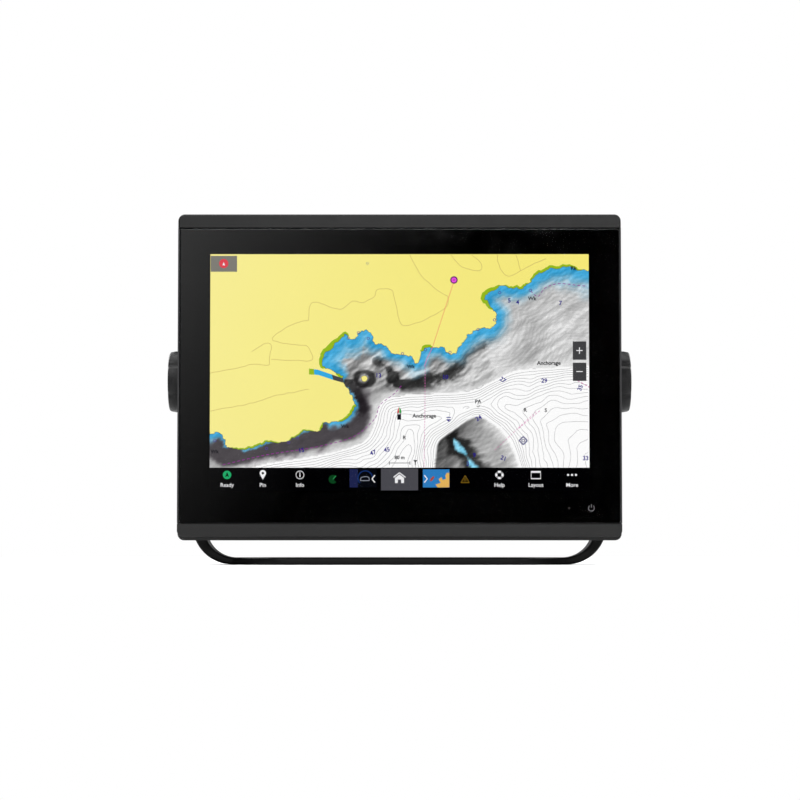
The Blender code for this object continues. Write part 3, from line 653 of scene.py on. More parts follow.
finish_piece(sink, "display", ANODISED, ["heat_sink"], sharp=40)

# %% Make the card door
door_x, door_y, door_z = box_of("card_door")
hinge_y, hinge_z = 0.0164, 0.0332
door = brick("door_flap", door_x, (0.0160, 0.0183), (hinge_z, door_z[1]))
joins = [rod("hinge barrel", "X", (hinge_y, hinge_z), door_x, 0.0022)]
for i in range(5):
    z = door_z[1] - 0.0030 - 0.0016 * i
    joins.append(rod("grip ridge", "X", (door_y[1] - 0.0006, z), (0.0860, 0.1020), 0.0005, 16))
work(door, "UNION", *joins)
work(door, "DIFFERENCE", rod("bore", "X", (hinge_y, hinge_z), (0.07, 0.12), 0.0013))
finish_piece(door, "door", CASE, ["card_door"], edge=0.00025)


# %% Make the case screws
def star(centre, along, radius, depth, steps=48):
    """A ring with six lobes."""
    ring = []
    for angle in all_round(steps):
        reach = radius - depth * (0.5 - 0.5 * math.cos(6 * angle))
        ring.append((centre[0] + reach * math.cos(angle), along, centre[1] + reach * math.sin(angle) + DATUM))
    return ring


for i in range(8):
    (x0, x1), (y0, y1), (z0, z1) = box_of(f"case_screw_{i + 1}")
    centre, head = (0.5 * (x0 + x1), 0.5 * (z0 + z1)), 0.5 * (x1 - x0)
    seat = y1 - 0.0018
    rings = [star(centre, seat + 0.0006, 0.00115, 0.0003), star(centre, y1 - 0.0001, 0.00120, 0.0003)]
    outline = [(y1, 0.00140)] + fillet((y1, 0.0016), (y1 - 0.0001, head), (seat + 0.0004, head))
    outline += [(seat, head), (seat, 0.0016), (y0, 0.0015)]
    rings += [circle("Y", centre, along, radius, 48) for along, radius in outline]
    finish_piece(shape(f"case_bolt_{i + 1}", rings), "display", STEEL, [f"case_screw_{i + 1}"])
print("heat sink, door and eight screws")

# %% [markdown]
# ## The front edge
# The trims are thin snap covers. Light runs along their front edges, so those edges have a true round
# section. The lower cover steps back along its lower edge, which leaves a fine line of shadow. The
# frame behind the trims shows only as a thin line round the glass.


# %% Make the trims
def cap(flat, tip, half, radius, y, steps=12):
    """A bar with square corners at the height flat and round ones at the height tip."""
    up = math.copysign(1, tip - flat)
    arc = []
    for step in range(steps + 1):
        angle = math.radians(90 * step / steps)
        arc.append((half - radius + radius * math.cos(angle), tip - up * radius * (1 - math.sin(angle))))
    side = [(half, flat)] + arc
    return [(x, y, z + DATUM) for x, z in side] + [(-x, y, z + DATUM) for x, z in reversed(side)]


def trim_cover(name, tip_inset, step_height=0.0, step_depth=0.0):
    """tip_inset is the round on the outer edge, which steps back by step_depth over step_height."""
    (_, half), (front, _), (low, high) = box_of(name)
    flat, tip, up = (low, high, 1) if name == "top_trim" else (high, low, -1)
    rings = []
    for share, depth in fillet((1.0, 0.0), (0.45, 0.0), (0.0, 1.0), 6):
        inset = share * tip_inset
        edge = min(inset, 0.0012)
        near, far = flat + up * 0.25 * edge, tip - up * (inset + step_height)
        rings.append(cap(near, far, half - edge, CORNER - 0.5 * edge, front + depth * tip_inset))
    if step_height:
        rings.append(cap(flat, tip - up * step_height, half, CORNER, front + step_depth))
        rings.append(cap(flat, tip, half - 0.0004, CORNER, front + step_depth + 0.0002))
    rings.append(cap(flat, tip, half, CORNER, TRIM_SEAT - 0.0003))
    finish_piece(shape(f"{name}_cover", rings), "display", TRIM, [name], sharp=40)


CORNER, TRIM_SEAT = 0.0045, -0.0360
trim_cover("top_trim", 0.0012)
trim_cover("bottom_trim", 0.0005, 0.0023, 0.0042)

# %% Finishes of the parts that keep their own shape
carried = {
    CASE: ["front_frame"],
    RUBBER: ["glass_gasket", "main_seal", "door_seal"],
    PANEL: ["touch_sensor", "lcd_panel"],
    GUIDE: ["light_guide", "led_strip"],
    SHEET: ["backlight_tray", "processor_shield"],
    ALLOY: ["chassis_plate"],
    BOARD: ["main_board", "touch_key_board"],
    PAD: ["thermal_pad"],
    CERAMIC: ["gps_antenna"],
    FILM: ["display_ribbon"],
    SOCKET: ["alarm_buzzer", "card_reader"],
    STEEL: ["door_pin"] + [f"{kind}_screw_{i + 1}" for kind in ("board", "chassis") for i in range(4)],
}
for material, names in carried.items():
    for name in names:
        nodes[name].data.materials[0] = material
print(sum(map(len, carried.values())), "parts keep their shape")

# %% [markdown]
# ## The glass
# One sheet of glass covers the front. Its border is black ink on the back, so the border looks as deep
# and glossy as the picture. The glass is clear and hardly rough; a faint haze of handling varies the
# roughness.

# %% Clear glass and black ink
clear = Finish("clear cover glass", Transmission_Weight=1.0, IOR=1.5, Base_Color=(1, 1, 1, 1))
clear.feed("Roughness", 0.015 + 0.03 * clear.speckle(0.02, 4.0).between(0.4, 0.8))
nodes["cover_glass"].data.materials[0] = clear.material
ink = Finish("black border ink", Specular_IOR_Level=0.0)
ink.feed("Base Color", ink.mix(ink.speckle(0.0004), (0.0002, 0.0002, 0.0003, 1), (0.0005, 0.0005, 0.0006, 1)))
ink.feed("Roughness", 0.5 + 0.1 * ink.speckle(0.003))

SCREEN_HALF, SCREEN_LOW, SCREEN_HIGH = 0.13056, -0.0746, 0.0886
GLASS_BACK = box_of("cover_glass")[1][1]
PICTURE = GLASS_BACK + 0.00045
(gx, _, gz) = box_of("cover_glass")
outer = ((gx[0] + 0.0002, gx[1] - 0.0002), (gz[0] + 0.0003, gz[1] - 0.0003), 0.0010)
window = ((-SCREEN_HALF, SCREEN_HALF), (SCREEN_LOW, SCREEN_HIGH), 0.0002)
levels = ((outer, 0.0001), (outer, 0.0002), (window, 0.0002), (window, 0.0001))
border = shape("ink_border", [rounded(*ring, GLASS_BACK + y, steps=3) for ring, y in levels], closed=True)
finish_piece(border, "display", ink.material)

# %% [markdown]
# ## The lit picture
# The chart is an invented coast: land fills the upper left, a bay opens to the right, and the sea floor
# falls away below. It is made the way a chart is printed, one layer of ink over another. Each layer is
# a thin plate of light, just behind the glass, drawn in millimetres from the lower left of the map.

# %% Where the map lies
MAP_WIDTH = 2000 * SCREEN_HALF
BAR_HEIGHT = 15.8
MAP_HEIGHT = 1000 * (SCREEN_HIGH - SCREEN_LOW) - BAR_HEIGHT
LAYER = 0.00003


def on_map(u, v, depth):
    """Millimetres on the map to a point in the frame, at a layer counted towards the viewer."""
    x = -SCREEN_HALF + 0.001 * u
    return (x, PICTURE - LAYER * depth, SCREEN_LOW + 0.001 * (v + BAR_HEIGHT) + DATUM)


def linear(red, green, blue):
    """A screen colour, 0 to 255, as the light that it stands for."""
    parts = [((c / 255 + 0.055) / 1.055) ** 2.4 if c > 10 else c / 3294 for c in (red, green, blue)]
    return (*parts, 1.0)


# %% A finish that gives light
SCREEN_LIGHT = 1.05


def lit(name, *colour, far=None):
    """A panel's light, which is never quite even. far, if given, is the colour at the right side; the paler
    colour on the left is then a painted reflection of the glass's sheen.
    """
    finish = Finish(name, Base_Color=(0, 0, 0, 1), Roughness=0.6, Specular_IOR_Level=0.0,
                    Emission_Strength=SCREEN_LIGHT)
    shown = linear(*colour)
    if far:
        # painted reflection: the colour is paler on the left, where the glass shows its sheen
        sockets = {0: finish.place(), 1: (0.5 / SCREEN_HALF, 0, 0)}
        sheen_fade_rightward = finish.node("ShaderNodeVectorMath", {"operation": "DOT_PRODUCT"}, sockets, out=1)
        shown = finish.mix(sheen_fade_rightward + 0.5, shown, linear(*far))
    finish.feed("Emission Color", finish.brighten(shown, 0.98 + 0.03 * finish.speckle(0.05, 1.0)))
    return finish.material


# %% A drawing in thin plates
THICK = 0.8


def arc(u, v, radius, angles):
    return [(u + radius * math.cos(a), v + radius * math.sin(a)) for a in angles]


class Drawing:
    """Thin plates at one depth. Each stroke hands back the drawing, so that strokes can be chained."""

    def __init__(self, depth):
        self.mesh, self.depth = bmesh.new(), depth

    def plate(self, points):
        levels = (self.depth, self.depth + THICK)
        ends = [[self.mesh.verts.new(on_map(u, v, level)) for u, v in points] for level in levels]
        self.mesh.faces.new(ends[0])
        self.mesh.faces.new(list(reversed(ends[1])))
        for i in range(len(points)):
            j = (i + 1) % len(points)
            self.mesh.faces.new((ends[0][i], ends[1][i], ends[1][j], ends[0][j]))
        return self

    def bar(self, u0, v0, u1, v1):
        return self.plate([(u0, v0), (u1, v0), (u1, v1), (u0, v1)])

    def disc(self, u, v, radius, steps=28):
        return self.plate(arc(u, v, radius, all_round(steps)))

    def line(self, points, width, loop=False):
        """A ribbon of one width along the points."""
        half, count = 0.5 * width, len(points)
        rows = []
        for i, (u, v) in enumerate(points):
            before = points[(i - 1) % count] if loop or i else points[i]
            after = points[(i + 1) % count] if loop or i < count - 1 else points[i]
            du, dv = after[0] - before[0], after[1] - before[1]
            size = math.hypot(du, dv) or 1.0
            nu, nv = -dv / size * half, du / size * half
            left, right = (u + nu, v + nv), (u - nu, v - nv)
            ends = [(*left, 0), (*right, 0), (*right, THICK), (*left, THICK)]
            rows.append([self.mesh.verts.new(on_map(a, b, self.depth + d)) for a, b, d in ends])
        pairs = list(zip(rows, rows[1:])) + ([(rows[-1], rows[0])] if loop else [])
        for one, other in pairs:
            for i in range(4):
                j = (i + 1) % 4
                self.mesh.faces.new((one[i], one[j], other[j], other[i]))
        if not loop:
            self.mesh.faces.new(rows[0])
            self.mesh.faces.new(rows[-1])
        return self

    def dashes(self, points, width, dash, gap):
        walk, drawn, run = 0.0, True, [points[0]]
        for (u0, v0), (u1, v1) in zip(points, points[1:]):
            size, done = math.hypot(u1 - u0, v1 - v0), 0.0
            while done < size:
                length = dash if drawn else gap
                step = min(length - walk, size - done)
                done, walk = done + step, walk + step
                spot = (u0 + (u1 - u0) * done / size, v0 + (v1 - v0) * done / size)
                run.append(spot)
                if walk >= length - 1e-9:
                    if drawn and len(run) > 1:
                        self.line(run, width)
                    walk, drawn, run = 0.0, not drawn, [spot]
        return self

    def circle_line(self, u, v, radius, width, steps=36):
        return self.line(arc(u, v, radius, all_round(steps)), width, loop=True)

    def outline(self, points, width):
        """A closed outline with true corners, one stroke for each side."""
        for one, other in zip(points, points[1:] + points[:1]):
            self.line([one, other], width)
        return self

    def words(self, text, u, v, size, angle=0.0, weight=0.0):
        """Lettering in Blender's own font, centred on a point. weight thickens the strokes."""
        curve = bpy.data.curves.new("words", "FONT")
        curve.body, curve.size, curve.align_x, curve.align_y = text, size, "CENTER", "CENTER"
        curve.offset, curve.resolution_u = weight * size, 3
        holder = bpy.data.objects.new("words", curve)
        bpy.context.scene.collection.objects.link(holder)
        bpy.context.view_layer.update()
        flat = bpy.data.meshes.new_from_object(holder.evaluated_get(bpy.context.evaluated_depsgraph_get()))
        bpy.data.objects.remove(holder)
        c, s = math.cos(math.radians(angle)), math.sin(math.radians(angle))
        letters = bmesh.new()
        letters.from_mesh(flat)
        grown = bmesh.ops.extrude_face_region(letters, geom=letters.faces[:])["geom"]
        front = {g for g in grown if isinstance(g, bmesh.types.BMVert)}
        for vert in letters.verts:
            a, b = vert.co.x, vert.co.y
            vert.co = on_map(u + a * c - b * s, v + a * s + b * c, self.depth + THICK * (vert in front))
        made = bpy.data.meshes.new("letters")
        letters.to_mesh(made)
        letters.free()
        self.mesh.from_mesh(made)
        return self

    def make(self, name, material):
        bmesh.ops.recalc_face_normals(self.mesh, faces=self.mesh.faces)
        made = finish_piece(object_of(name, self.mesh), "display", material, sharp=0)
        print(name, len(made.data.polygons), "faces")


# %% [markdown]
# ### The coast
# A few points fix the shape of the bay. A smooth curve goes through them, and noise that is finer at
# each step gives the small inlets that a surveyor would draw.

# %% The coastline
SHORE = [
    (-3, 24), (9, 23), (12, 14), (24, 13), (38, 16), (52, 18), (64, 24), (76, 26), (80, 31), (90, 32),
    (100, 41), (98, 48), (93, 55), (90.5, 59.5), (90.8, 62.6), (84, 67.6), (77, 73), (84, 83), (92, 91),
    (98, 88), (104, 94), (111, 93), (114, 86), (119, 85), (126, 79), (136, 77), (144, 72), (147, 82),
    (157, 83), (167, 79), (174, 85), (179, 92), (185, 96), (193, 96), (197, 104), (193, 112),
    (190, 118), (200, 124), (214, 124), (221, 128), (229, 135), (244, 138), (264, 136),
]


def between_four(p, q, r, s, t):
    """A share t of the way from q to r, on a cubic that p and s steer."""
    bend, twist = (2 * p - 5 * q + 4 * r - s) * t * t, (3 * q - p - 3 * r + s) * t ** 3
    return 0.5 * (2 * q + (r - p) * t + bend + twist)


def smooth_through(points, steps=12):
    """A curve through every point."""
    padded, curve = [points[0]] + points + [points[-1]], []
    for four in zip(padded, padded[1:], padded[2:], padded[3:]):
        for step in range(steps):
            curve.append(tuple(between_four(*along_axis, step / steps) for along_axis in zip(*four)))
    return curve + [points[-1]]


def roughen(points, amount, size):
    rough = []
    for u, v in points:
        push = noise.fractal(Vector((u / size, v / size, 3.7)), 0.7, 2.1, 4)
        pull = noise.fractal(Vector((u / size, v / size, 9.2)), 0.7, 2.1, 4)
        rough.append((u + amount * push, v + amount * pull))
    return rough


def side_of(p, q, r):
    return (q[0] - p[0]) * (r[1] - p[1]) - (q[1] - p[1]) * (r[0] - p[0])


def crossed(a, b, c, d):
    """Whether the stretch from a to b crosses the one from c to d."""
    return side_of(a, b, c) * side_of(a, b, d) < 0 and side_of(c, d, a) * side_of(c, d, b) < 0


def without_loops(points, reach=60):
    """Cuts out each small loop where the line crosses itself, because a filled shape can't have one."""
    kept, i = [], 0
    while i < len(points) - 1:
        kept.append(points[i])
        onward = range(i + 2, min(i + reach, len(points) - 1))
        jumps = [j for j in onward if crossed(points[i], points[i + 1], points[j], points[j + 1])]
        i = jumps[-1] + 1 if jumps else i + 1
    return kept + [points[-1]]


coast = without_loops(roughen(roughen(smooth_through(SHORE, 14), 1.7, 6.0), 0.7, 2.0))
print(len(coast), "points along the coast")

# %% [markdown]
# ### The sea floor
# Sonar surveys show as shaded relief, with blue shallows along the shore. Beyond the survey the chart
# is plain white with depth lines. Five curves plan the floor: the coast, the survey's seaward edge, a
# dark channel that winds out of the bay, a second surveyed patch, and a shallow reef inside it. Noise
# drawn out along the channel's direction, lit from the upper left, gives the ridges.

# %% Curves that plan the floor
SURVEY_EDGE = [(12, -6), (36, 2), (66, 7), (90, 12), (107, 19), (113, 30), (115, 38), (120, 47), (134, 50),
               (152, 51), (179, 53), (195, 60), (212, 67), (238, 69), (266, 71)]
CHANNEL = [(113, 75), (122, 69), (127, 61), (134, 56), (143, 55), (152, 60), (162, 63), (171, 70), (179, 79),
           (190, 84), (204, 91), (216, 98)]
PATCH = [(154, -6), (155, 8), (157, 18), (167, 26), (179, 34), (187, 35), (200, 26), (208, 14), (213, 0),
         (214, -8)]
REEF = [(167, 22), (170, 15), (175, 11), (179, 4), (184, -3)]
ISLET = (106.3, 61.3)

# %% Distances on a grid
CELL = 0.95
grid_steps = [np.linspace(0, size, int(size / CELL) + 2) for size in (MAP_WIDTH, MAP_HEIGHT)]
grid_u, grid_v = np.meshgrid(*grid_steps)


def away_from(points):
    """From each grid point, how far the curve's nearest point is, and how far along the curve it lies."""
    far, share = [], []
    curve_u, curve_v = np.array(points).T
    for row_u, row_v in zip(grid_u, grid_v):
        squares = (row_u[:, None] - curve_u) ** 2 + (row_v[:, None] - curve_v) ** 2
        nearest = squares.argmin(1)
        far.append(np.sqrt(squares.min(1)))
        share.append(nearest / len(points))
    return np.array(far), np.array(share)


def field(size, octaves, seed, long=1.0, lean=0.0):
    """Noise on the grid. long draws it out along a direction that leans by an angle from level."""
    c, s = math.cos(math.radians(lean)), math.sin(math.radians(lean))
    values = []
    for u, v in zip(grid_u.flat, grid_v.flat):
        spot = Vector(((u * c + v * s) / (size * long), (v * c - u * s) / size, seed))
        values.append(noise.fractal(spot, 0.75, 2.1, octaves))
    return np.array(values).reshape(grid_u.shape)


def step_up(value, low, high):
    t = np.clip((value - low) / (high - low), 0, 1)
    return t * t * (3 - 2 * t)


def below(points, grow=0.0):
    """Where the grid lies below a curve that runs from left to right."""
    curve_u, curve_v = np.array(points).T
    order = np.argsort(curve_u)
    return step_up(np.interp(grid_u, curve_u[order], curve_v[order]) - grid_v, -grow, grow + 1e-6)


edge_curve, patch_curve = smooth_through(SURVEY_EDGE, 10), smooth_through(PATCH, 10)
shore, along = away_from(coast)
edge_away, _ = away_from(edge_curve)
patch_away, _ = away_from(patch_curve)
channel_away, channel_share = away_from(smooth_through(CHANNEL, 8))
reef_away, reef_share = away_from(smooth_through(REEF, 8))
islet_away = np.hypot(grid_u - ISLET[0], (grid_v - ISLET[1]) * 1.15)
open_sea, in_patch = below(edge_curve), below(patch_curve)
print("sea floor", grid_u.shape, "points")

# %% Relief on the floor
ridge, fine, broad = field(9.0, 4, 1.5, 2.2, 30), field(2.6, 3, 4.4, 1.8, 24), field(34, 3, 7.1)
slope_v, slope_u = np.gradient(6.0 * ridge + 0.5 * fine, CELL)
relief = np.tanh(0.42 * (slope_v - slope_u))
# the coast's stretches, as shares of its length: the western shore, the bay, the cape between, the east
east, cape = step_up(along, 0.66, 0.80), step_up(along, 0.22, 0.25) * (1 - step_up(along, 0.31, 0.34))
west = 1 - step_up(along, 0.24, 0.30)
bay = (1 - west) * (1 - east)

# %% Greys of the survey
floor = 0.66 * bay + 0.78 * east + 0.72 * west
floor = floor + relief * (0.26 * bay + 0.10 * east + 0.06 * west) + 0.10 * broad
ripple = np.sin(2.6 * shore + 5 * ridge + 3 * broad)
floor = floor + 0.035 * east * ripple * step_up(shore, 9, 14)
bank = 1 - step_up(shore + 3.0 * ridge + 2.0 * broad, 9.5, 14)
floor = floor * (1 - west * bank) + west * bank * (0.285 + 0.02 * fine)
floor = floor * (1 - 0.62 * cape * (1 - step_up(shore + 2 * ridge, 6, 10)))
channel_width = np.interp(channel_share, [0, 0.25, 0.4, 0.6, 0.75, 0.9, 1.0],
                          [2.4, 3.8, 4.8, 3.4, 2.8, 1.8, 0.5])
darkness = np.interp(channel_share, [0, 0.2, 0.6, 0.85, 1.0], [0.50, 0.72, 0.64, 0.42, 0.0])
channel = 1 - step_up(channel_away + 4.5 * ridge + 1.2 * fine, 0.6 * channel_width, 1.35 * channel_width)
moat = 1 - step_up(np.abs(islet_away - 5.6) + 1.6 * ridge, 1.2, 3.2)
floor = floor * (1 - darkness * channel) * (1 - 0.66 * moat)
fade = np.interp(along, [0, 0.3, 0.4, 0.7, 1], [7, 6, 3, 7, 9])
near_edge = 1 - step_up(edge_away + 1.5 * fine, 0.0, fade)
floor = floor + near_edge * (0.93 - floor) * 0.75
tone = floor * (1 - open_sea) + open_sea

# %% The second patch and its reef
slant = step_up(grid_u - 0.55 * grid_v, 143, 182)
mound = 0.22 + 0.46 * slant + 0.10 * relief + 0.16 * step_up(-patch_away, -9, -1) * slant
mound = mound * (1 - 0.68 * (1 - step_up(reef_away + 5.0 * ridge, 4.0, 9.0)))
soft_rim = step_up(patch_away, 0.0, 1.6) * in_patch
tone = np.clip(tone * (1 - soft_rim) + mound * soft_rim, 0.10, 1.0)

# %% Blue shallows
# how far the shallows reach from the shore, in millimetres, at shares of the coast's length
SHELF = ((0, 7), (0.02, 6), (0.04, 0.8), (0.18, 0.9), (0.20, 3.2), (0.24, 2.6), (0.26, 0.8), (0.33, 1.5),
         (0.36, 13), (0.42, 15), (0.52, 9), (0.62, 8), (0.70, 9), (0.82, 11), (0.90, 11), (1.0, 17))
shelf = np.interp(along, *zip(*SHELF))
shelf = shelf * (1 + 0.35 * broad)
wet = 1 - step_up(shore + 2.6 * ridge + 0.8 * fine, 0.12 * shelf, 1.35 * shelf + 0.2)
reef_width = np.interp(reef_share, [0, 0.2, 0.5, 1.0], [0.6, 2.4, 1.6, 3.2])
on_reef = 1 - step_up(reef_away + 2.0 * ridge + 0.8 * fine, 0.4 * reef_width, 1.2 * reef_width)
wet = np.maximum(wet, on_reef * in_patch)
blue, deep_blue, pale = (np.array(c) / 255 for c in ((62, 164, 214), (112, 172, 204), (186, 224, 238)))
inward = step_up(shore, 0.15 * shelf, 0.9 * shelf + 0.1)
streaks = np.clip(0.5 + 0.9 * np.sin(2.1 * shore + 4 * ridge), 0, 1) * step_up(shore, 2, 5)
water = blue + (deep_blue - blue) * inward[..., None]
water = water + (pale - water) * (0.65 * streaks * inward)[..., None] + 0.09 * relief[..., None]
reef_water = np.array([0.52, 0.82, 0.93])
water = np.where(in_patch[..., None] > 0.5, reef_water + 0.15 * relief[..., None], water)
dusk = np.array([0.012, -0.004, 0.012]) * (west * bank)[..., None]
screen = np.clip(np.stack([tone] * 3, -1) + dusk, 0, 1)
screen = np.clip(screen * (1 - wet[..., None]) + water * wet[..., None], 0, 1)
surveyed = np.maximum(1 - open_sea, soft_rim)

# %% Make the sea
sea_mesh = bmesh.new()
front = [[sea_mesh.verts.new(on_map(u, v, 0)) for u, v in zip(*row)] for row in zip(grid_u, grid_v)]
for lower, upper in zip(front, front[1:]):
    for i in range(len(lower) - 1):
        sea_mesh.faces.new((lower[i], lower[i + 1], upper[i + 1], upper[i]))
brim = front[0][:-1] + [row[-1] for row in front[:-1]] + front[-1][:0:-1] + [row[0] for row in front[:0:-1]]
behind = [sea_mesh.verts.new((v.co.x, v.co.y + THICK * LAYER, v.co.z)) for v in brim]
for i in range(len(brim)):
    j = (i + 1) % len(brim)
    sea_mesh.faces.new((brim[j], brim[i], behind[i], behind[j]))
sea_mesh.faces.new(list(reversed(behind)))
extra = len(brim)
sea = object_of("chart_sea", sea_mesh)
light = np.where(screen > 0.04045, ((screen + 0.055) / 1.055) ** 2.4, screen / 12.92)
tint = sea.data.color_attributes.new("floor", "FLOAT_COLOR", "POINT")
colours = np.concatenate([light, np.ones_like(light[..., :1])], -1).reshape(-1, 4)
tint.data.foreach_set("color", np.concatenate([colours, np.ones((extra, 4))]).ravel())
rough = sea.data.attributes.new("surveyed", "FLOAT", "POINT")
rough.data.foreach_set("value", np.concatenate([surveyed.ravel(), np.zeros(extra)]))
seabed = Finish("sea floor", Base_Color=(0, 0, 0, 1), Roughness=0.6, Specular_IOR_Level=0.0,
                Emission_Strength=SCREEN_LIGHT)
painted = seabed.node("ShaderNodeAttribute", {"attribute_name": "floor"}, out=0)
amount = seabed.node("ShaderNodeAttribute", {"attribute_name": "surveyed"}, out=2)
lean = (0.6, 1, 1.3)
embossed = seabed.speckle(0.0020, 3.0, lean) - seabed.speckle(0.0020, 3.0, lean, (0.0004, 0, -0.0005))
seabed.feed("Emission Color", seabed.brighten(painted, 1 + amount * 0.5 * embossed))
finish_piece(sea, "display", seabed.material, sharp=0)
print("the sea:", len(sea.data.polygons), "faces")

# %% [markdown]
# ### Depth lines
# A depth line joins points of one depth. Each grid square is asked where the depth crosses a level on
# its sides, and the short pieces are chained end to end.


# %% Find and draw the depth lines
def crossings(values, level, keep):
    """Chains of points where values cross level, in grid squares where keep is true."""
    links = {}
    rows, columns = values.shape
    for j in range(rows - 1):
        for i in range(columns - 1):
            if not keep[j, i]:
                continue
            corners = [(i, j), (i + 1, j), (i + 1, j + 1), (i, j + 1)]
            found = []
            for a, b in zip(corners, corners[1:] + corners[:1]):
                va, vb = values[a[1], a[0]] - level, values[b[1], b[0]] - level
                if (va < 0) != (vb < 0):
                    t = va / (va - vb)
                    spot = (a[0] + (b[0] - a[0]) * t, a[1] + (b[1] - a[1]) * t)
                    found.append((tuple(sorted((a, b))), spot))
            for one, other in zip(found[::2], found[1::2]):
                links.setdefault(one[0], []).append((one, other))
                links.setdefault(other[0], []).append((other, one))
    used, chains = set(), []
    ends = [key for key, found in links.items() if len(found) == 1]
    for start in ends + list(links):
        if start in used:
            continue
        chain, key = [links[start][0][0][1]], start
        while True:
            used.add(key)
            onward = [pair[1] for pair in links.get(key, []) if pair[1][0] not in used]
            if not onward:
                break
            key, spot = onward[0]
            chain.append(spot)
        if len(chain) > 4:
            chains.append(chain)
    return chains


coarse = 2
from_patch = 1.3 * patch_away + 2.0
from_edge = np.minimum(edge_away, from_patch)
saddle = 9 * np.exp(-np.abs(edge_away - 1.3 * patch_away - 2.0) / 9)
offing = from_edge - 0.30 * saddle + (5.5 * broad + 1.6 * ridge) * step_up(from_edge, 0, 14)
offing, wanted = (found[::coarse, ::coarse] for found in (offing, (open_sea > 0.5) & (soft_rim < 0.3)))
depth_lines = Drawing(1)
step_u, step_v = grid_u[0, 1] * coarse, grid_v[1, 0] * coarse
level, spacing = 0.6, 1.3
WIDENING, WIDEST, DEEPEST = 1.11, 6.4, 90
while level < DEEPEST:
    for chain in crossings(offing, level, wanted):
        spots = [(min(i * step_u, MAP_WIDTH), min(j * step_v, MAP_HEIGHT)) for i, j in chain]
        middles = [tuple(0.25 * a + 0.5 * b + 0.25 * c for a, b, c in zip(*three))
                   for three in zip(spots, spots[1:], spots[2:])]
        depth_lines.line([spots[0]] + middles + [spots[-1]], 0.22)
    level, spacing = level + spacing, min(WIDENING * spacing, WIDEST)
depth_lines.make("chart_depth_lines", lit("depth line grey", 128, 128, 130))

# %% [markdown]
# ### Land, drying ground and tracks
# The land is one flat plate over the sea. Beaches that dry at low water are drawn green along parts of
# the shore, and fine brown lines are tracks inland.


# %% Clip to the map, and draw the land
def clipped(points):
    return [(min(max(u, 0), MAP_WIDTH), min(max(v, 0), MAP_HEIGHT)) for u, v in points]


land = Drawing(3)
mainland = []
for point in clipped(coast) + [(MAP_WIDTH, MAP_HEIGHT), (0, MAP_HEIGHT)]:
    if not mainland or math.dist(point, mainland[-1]) > 1e-6:
        mainland.append(point)
land.plate(mainland)
islet = [(ISLET[0] + 2.1 * math.cos(a / 8), ISLET[1] + 2.0 * math.sin(a / 8)) for a in range(50)]
islet = roughen(islet, 0.4, 2.0)
land.plate(islet)
# the land is paler on the left: a painted reflection of the glass's sheen
land.make("chart_land", lit("land yellow", 249, 239, 146, far=(248, 235, 121)))


def beside(points, width):
    """A strip that lies on the left of the points, and narrows to nothing at both ends."""
    strip, last = [], len(points) - 1
    for i, (u, v) in enumerate(points):
        du, dv = (b - a for a, b in zip(points[max(i - 1, 0)], points[min(i + 1, last)]))
        size, reach = math.hypot(du, dv) or 1.0, width * math.sin(math.pi * i / last) ** 0.4
        strip.append((u - dv / size * reach, v + du / size * reach))
    return points + strip[::-1][1:-1]


green = Drawing(3.2)
count = len(coast)
for start, end, width in ((0.055, 0.115, 1.3), (0.125, 0.16, 1.0), (0.165, 0.19, 1.3), (0.215, 0.25, 1.8),
                          (0.335, 0.352, 1.8), (0.365, 0.44, 2.6), (0.635, 0.662, 2.2), (0.825, 0.885, 2.8),
                          (0.885, 0.925, 1.6), (0.925, 0.992, 1.9)):
    green.plate(clipped(beside(coast[int(start * count):int(end * count)], width)))
green.make("chart_drying_ground", lit("drying green", 150, 186, 30))

# a narrow inlet lies behind the spit, with a beach at its head and deep water in its mouth
banks = roughen([(68.4, 68.0), (74.0, 67.4), (84.0, 64.2), (91.6, 61.6), (92.0, 58.2), (85.0, 60.4),
                 (75.0, 63.8), (68.4, 64.4)], 0.3, 3.0)
Drawing(5.0).plate(banks[:3] + banks[5:]).make("chart_inlet", lit("inlet blue", 52, 170, 228))
Drawing(5.0).plate(banks[2:6]).make("chart_inlet_mouth", lit("mouth grey", 70, 70, 74))
beach = [(68.2, 68.2), (71.6, 67.9), (71.9, 64.0), (68.2, 64.2)]
Drawing(6.0).plate(beach).make("chart_inlet_beach", lit("beach green", 150, 186, 30))

shoreline = Drawing(4.2).line(clipped(coast), 0.26).line(islet, 0.26, loop=True)
shoreline.make("chart_shoreline", lit("shore line", 84, 84, 60))

tracks = Drawing(4.2)
for track in (
    [(0, 65), (20, 69), (28, 71), (40, 71), (41, 75), (42, 84), (38, 86), (29, 80)],
    [(42, 74.5), (56, 74), (70, 74), (69, 80), (66, 84), (55, 85), (43, 88), (48, 94), (58, 99), (68, 102)],
    [(68, 102), (69, 112), (74, 114), (84, 110), (92, 110), (98, 115), (105, 114), (113, 118), (116, 123),
     (124, 123), (127, 118), (130, 103), (134, 98), (146, 101), (158, 107), (164, 112), (164, 118)],
    [(164, 118), (156, 123), (148, 130), (142, 138), (138, 147)],
    [(0, 39), (14, 41), (30, 45), (44, 49), (58, 52), (68, 54)],
    [(166, 147), (173, 139), (181, 136), (187, 137), (186, 142), (180, 147)],
    [(198, 147), (199, 140), (205, 132), (214, 136), (224, 141), (232, 144)],
    [(211, 147), (214, 136)],
):
    tracks.line(clipped(roughen(smooth_through(track, 6), 0.7, 9.0)), 0.36)
tracks.make("chart_tracks", lit("track brown", 205, 184, 104))

# %% [markdown]
# ### Marks and figures
# Depth figures are violet, as on a chart. The waypoint, route, boat and buoy are simple signs of the
# kind that every chart uses. No place is named.

